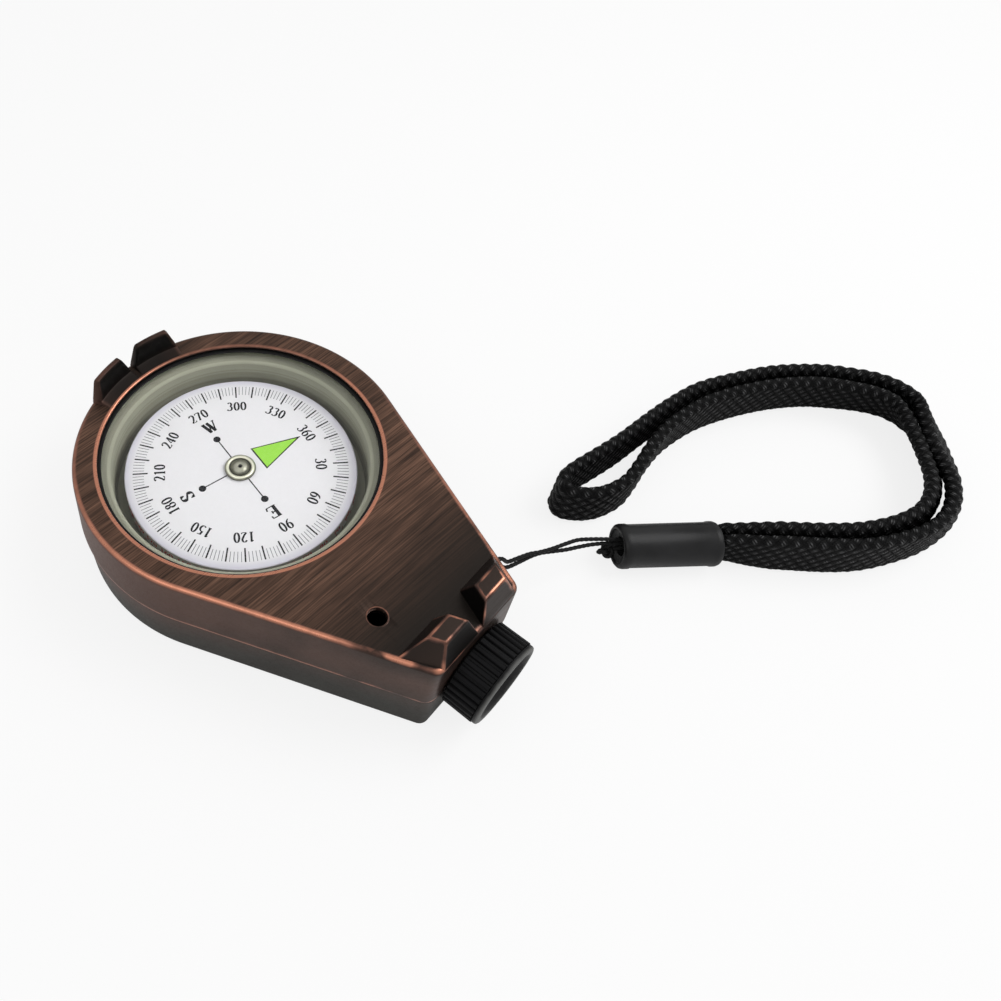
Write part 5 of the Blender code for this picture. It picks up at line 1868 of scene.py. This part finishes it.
    def strap_line(self) -> tuple[np.ndarray, np.ndarray, np.ndarray]:
        """Line of the strap; a route's third value is how far it leans over there, in degrees.

        Returns:
            Its centreline, the direction of its thickness and that of its width.
        """
        route = []
        for x, y, *given in self.strap_route:
            lean = given[0] if given else 0.0
            turn = radians(abs(lean))
            rise = self.strap_width / 2 * cos(turn) + self.strap_thickness / 2 * sin(turn)
            route.append((x, y, rise + self.strap_lift, lean))
        path = smooth_path(route, 0.22)
        centre, lean = path[:, :3], np.radians(path[:, 3])[:, None]
        up = np.array((0.0, 0.0, 1.0))
        ahead = np.gradient(centre, axis=0)
        ahead /= np.linalg.norm(ahead, axis=1)[:, None]
        side = np.cross(ahead, up)
        side /= np.linalg.norm(side, axis=1)[:, None]
        return centre, side * np.cos(lean) + up * np.sin(lean), up * np.cos(lean) - side * np.sin(lean)

    def build_strap(self) -> tuple[Object, np.ndarray]:
        """Build the braid.

        Returns:
            The braid and its centreline in millimetres.
        """
        centre, outward, upward = self.strap_line()
        section, whole = self.strap_section()
        reach = np.minimum(*(np.linalg.norm(centre - end, axis=1) for end in (centre[0], centre[-1])))
        size = self.squeeze + (1 - self.squeeze) * np.minimum(reach / self.squeeze_length, 1.0)
        draft = Draft()
        rings = []
        for index, point in enumerate(centre):
            points = [point + size[index] * (outward[index] * x + upward[index] * y) for x, y in section]
            rings.append(draft.ring([tuple(place) for place in points]))
        strap = draft.loft(rings).finish("braided_strap", sharp=180)
        cell = whole / self.braid_cells
        count, steps = len(centre), self.section_steps
        travelled = np.linspace(0.0, run_length(centre) / cell, count)
        marks = {"along": np.repeat(travelled, steps),
                 "across": np.tile(np.arange(steps) * self.braid_cells / steps, count)}
        for name, values in marks.items():
            attribute = strap.data.attributes.new(name, "FLOAT", "POINT")
            attribute.data.foreach_set("value", values.astype(np.float32))
        modifier = strap.modifiers.new("braid", "NODES")
        modifier.node_group = braided_skin()
        finish = BraidedYarn().material(strap.name)
        set_inputs(modifier, {"Depth": self.braid_depth * MM, "Finish": finish})
        return flatten(strap), centre

    def build_cord(self) -> tuple[Object, np.ndarray]:
        """Build the thin cord with two twisted plies.

        Returns:
            The cord and its centreline in millimetres.
        """
        path = smooth_path(self.cord_route, 0.12)
        draft = Draft()
        tube(path, self.cord_radius, 12, draft,
             lambda index, angle: 0.8 + 0.2 * abs(cos(angle + index * 0.42)))
        return draft.finish("thin_cord", sharp=180), path

    def build_knot(self) -> Object:
        """Build the knot as a tight knotted loop.

        Returns:
            The knot.
        """
        count = 150
        turns = np.linspace(0.0, 2 * pi, count, endpoint=False)
        size = self.knot_radius - 0.4
        shape = np.column_stack((np.sin(turns) + 2 * np.sin(2 * turns), np.cos(turns) - 2 * np.cos(2 * turns),
                                 -1.6 * np.sin(3 * turns))) * size / 3
        draft = Draft()
        tube(shape + np.array(self.knot_centre), 0.4, 12, draft,
             lambda index, angle: 0.85 + 0.15 * abs(cos(angle + index * 0.3)), closed=True)
        for tail in self.knot_tails:
            tube(smooth_path(tail, 0.12), self.cord_radius, 12, draft)
        return draft.finish("knot_of_cord", sharp=180)

    def build_sleeve(self) -> Object:
        """Build the sleeve with rolled ends.

        Returns:
            The sleeve.
        """
        length, radius = self.sleeve_length, self.sleeve_radius
        profile = [(0, 3.4), (1.5, 3.4), (1.6, 3.2), (1.6, 0.75), (1.75, 0.6), (2.6, 0.5), (2.85, 0.3),
                   (2.95, 0.08), (3.15, 0.0), (3.4, 0.08), (3.66, 0.32), (radius, 0.7), (radius, 1.5),
                   (radius - 0.12, 1.8),
                   (radius - 0.12, length - 1.4), (radius, length - 1.1), (radius, length - 0.5),
                   (3.62, length - 0.15), (3.35, length), (0, length)]
        place = (Matrix.Translation(Vector((*self.sleeve_start, radius)) * MM)
                 @ Matrix.Rotation(radians(self.sleeve_heading), 4, "Z")
                 @ Matrix.Rotation(radians(90), 4, "Y"))
        return Draft().turn(profile, 96).finish("strap_sleeve", place, 40)

    def build_eye(self) -> Object:
        """Build the wire eye in the side wall.

        Returns:
            The eye.
        """
        lean = radians(self.shells.side_angle)
        normal = Vector((cos(lean), sin(-lean), 0))
        forward = Vector((sin(lean), cos(lean), 0))
        wall = self.shells.head_radius + 0.29
        shape = [(-self.eye_depth, -self.eye_radius)]
        shape += [(y, x) for x, y in arc((0, 0), (self.eye_radius, self.eye_radius), 180, 0, 24)]
        shape += [(-self.eye_depth, self.eye_radius)]
        points = [normal * (wall + out) + forward * (self.eye_place + on) for out, on in shape]
        path = np.array([(point.x, point.y, self.eye_height) for point in points])
        draft = Draft()
        tube(path, self.eye_wire, 16, draft)
        return draft.finish("wire_eye", sharp=60)

    def assemble(self) -> None:
        sleeve_finish = Moulded((0.013, 0.013, 0.0135), 0.36, specular=0.2)
        sleeve = dress(self.build_sleeve(), sleeve_finish, Body.CASE, ["cord_sleeve"])
        strap, line = self.build_strap()
        dress(strap, None, Body.CASE, ["wrist_strap"])
        run_length(line) * MM
        knot = dress(self.build_knot(), TwistedYarn(), Body.CASE, ["cord_knot"])
        cord, line = self.build_cord()
        dress(cord, TwistedYarn(), Body.CASE, ["lanyard_cord"])
        run_length(line) * MM
        dress(self.build_eye(), Metal((0.11, 0.095, 0.085), 0.35), Body.CASE, ["lanyard_eye"])


@dataclass
class CaseScrews:
    """The four screws with cross recesses in the floor."""

    places: tuple[Point2, ...] = CaseShells.screw_places
    radius: float = 0.7
    head_radius: float = 1.35
    seat: float = 0.2
    head_height: float = 0.85
    tip: float = 15.0

    def build(self, index: int) -> Object:
        """Build one screw.

        Args:
            index: Its number, from 1.

        Returns:
            The screw.
        """
        head, low, high = self.head_radius, self.seat, self.seat + self.head_height
        screw = Draft().turn([(0, low), (head - 0.5, low), (head - 0.15, low + 0.08), (head, low + 0.3),
                              (head, high), (self.radius, high), (self.radius, self.tip - 0.5),
                              (0.3, self.tip), (0, self.tip)], 40)
        place = placed(*self.places[index - 1]) @ Matrix.Rotation(index * 1.1, 4, "Z")
        plan = rectangle(-0.75, 0.75, -0.13, 0.13)
        narrow = [(0.5 * x, 0.8 * y) for x, y in plan]
        tools = []
        for turn in (0, 90):
            slot = Draft().stack([(plan, low - 0.2), (plan, low + 0.1), (narrow, low + 0.6)])
            turned = place @ Matrix.Rotation(radians(turn), 4, "Z")
            tools.append(slot.finish(f"slot_tool_{turn}", turned))
        return cut(screw.finish(f"floor_screw_{index}", place), tools)

    def assemble(self) -> None:
        """Build and dress the screws."""
        for index in range(1, len(self.places) + 1):
            dress(self.build(index), Metal((0.5, 0.49, 0.47)), Body.CASE, [f"case_screw_{index}"])


@dataclass
class Studio:
    """Camera, pale floor and soft light."""

    camera_place: Point3 = (-61.12, -64.2, 133.13)
    camera_right: Point3 = (0.7002, -0.7128, -0.0406)
    camera_up: Point3 = (0.5903, 0.5459, 0.5946)
    focal_pixels: float = 900.0
    frame_pixels: float = 1001.0
    shift: Point2 = (0.2713, -0.0301)
    ambient: float = 0.62
    floor_cover: float = 0.82
    floor_reach: float = 3000.0
    floor_height: float = -0.03

    def build_camera(self) -> None:
        """Place the camera at the photograph's angle."""
        data = bpy.data.cameras.new("studio_camera")
        data.sensor_width = 36.0
        data.lens = data.sensor_width * self.focal_pixels / self.frame_pixels
        data.shift_x, data.shift_y = self.shift
        data.clip_start = 0.005
        camera = bpy.data.objects.new("studio_camera", data)
        right, up = Vector(self.camera_right).normalized(), Vector(self.camera_up).normalized()
        turn = Matrix((right, up, right.cross(up))).transposed().to_4x4()
        camera.matrix_world = Matrix.Translation(Vector(self.camera_place) * MM) @ turn
        bpy.context.scene.collection.objects.link(camera)
        bpy.context.scene.camera = camera

    def build_floor(self) -> None:
        """Lay the floor: white to the camera and through glass, with the object's shadow on it."""
        draft = Draft()
        reach = self.floor_reach
        corners = rectangle(-reach, reach, -reach, reach)
        draft.faces.append(tuple(draft.ring([(x, y, self.floor_height) for x, y in corners])))
        floor = draft.finish("floor")
        material = bpy.data.materials.new("floor")
        material.use_nodes = True
        graph = Graph(material.node_tree)
        shader = graph.tree.nodes["Principled BSDF"]
        shader.inputs["Base Color"].default_value = (0.86, 0.86, 0.86, 1.0)
        shader.inputs["Roughness"].default_value = 0.9
        seen = graph.seen()
        white = graph.add("ShaderNodeEmission", {"Color": (1.0, 1.0, 1.0, 1.0), "Strength": 1.0})
        both = graph.add("ShaderNodeMixShader", {0: graph.times(seen, self.floor_cover),
                                                 1: shader.outputs[0], 2: white.outputs[0]})
        graph.join(both.outputs[0], graph.tree.nodes["Material Output"].inputs["Surface"])
        floor.data.materials.append(material)

    def build_world(self) -> None:
        """Make a world that is white to the camera and soft on the object."""
        world = bpy.data.worlds.new("studio")
        world.use_nodes = True
        bpy.context.scene.world = world
        graph = Graph(world.node_tree)
        back = graph.tree.nodes["Background"].inputs
        back["Color"].default_value = (1.0, 1.0, 1.0, 1.0)
        graph.join(graph.span(graph.seen(), 0.0, 1.0, self.ambient, 1.0), back["Strength"])

    def add_light(self, name: str, place: Point3, target: Point3, size: float, power: float) -> None:
        """Add a soft square lamp.

        Args:
            name: Its name.
            place: Its place in millimetres.
            target: The point that it faces.
            size: Its side in millimetres.
            power: Its power in watts.
        """
        data = bpy.data.lights.new(name, "AREA")
        data.size = size * MM
        data.energy = power
        lamp = bpy.data.objects.new(name, data)
        lamp.location = Vector(place) * MM
        lamp.rotation_euler = (Vector(target) - Vector(place)).to_track_quat("-Z", "Y").to_euler()
        bpy.context.scene.collection.objects.link(lamp)

    def assemble(self) -> None:
        """Build camera, floor, world and lamps."""
        self.build_camera()
        self.build_floor()
        self.build_world()
        self.add_light("key", (-240, 0, 330), (0, -10, 10), 260, 0.2)
        self.add_light("cup side", (200, -150, 300), (0, -10, 10), 220, 0.58)
        bpy.context.scene.view_settings.view_transform = "Standard"


def main() -> None:
    """Build the studio and every sub-assembly."""
    logging.basicConfig(level=logging.INFO, format="%(name)s: %(message)s")
    Studio().assemble()
    shells = CaseShells()
    WristStrap(shells).assemble()
    shells.assemble()
    SightEars(shells).assemble()
    CaseScrews().assemble()
    Capsule().assemble()
    CompassCard().assemble()
    Eyepiece().assemble()


if __name__ == "__main__":
    main()
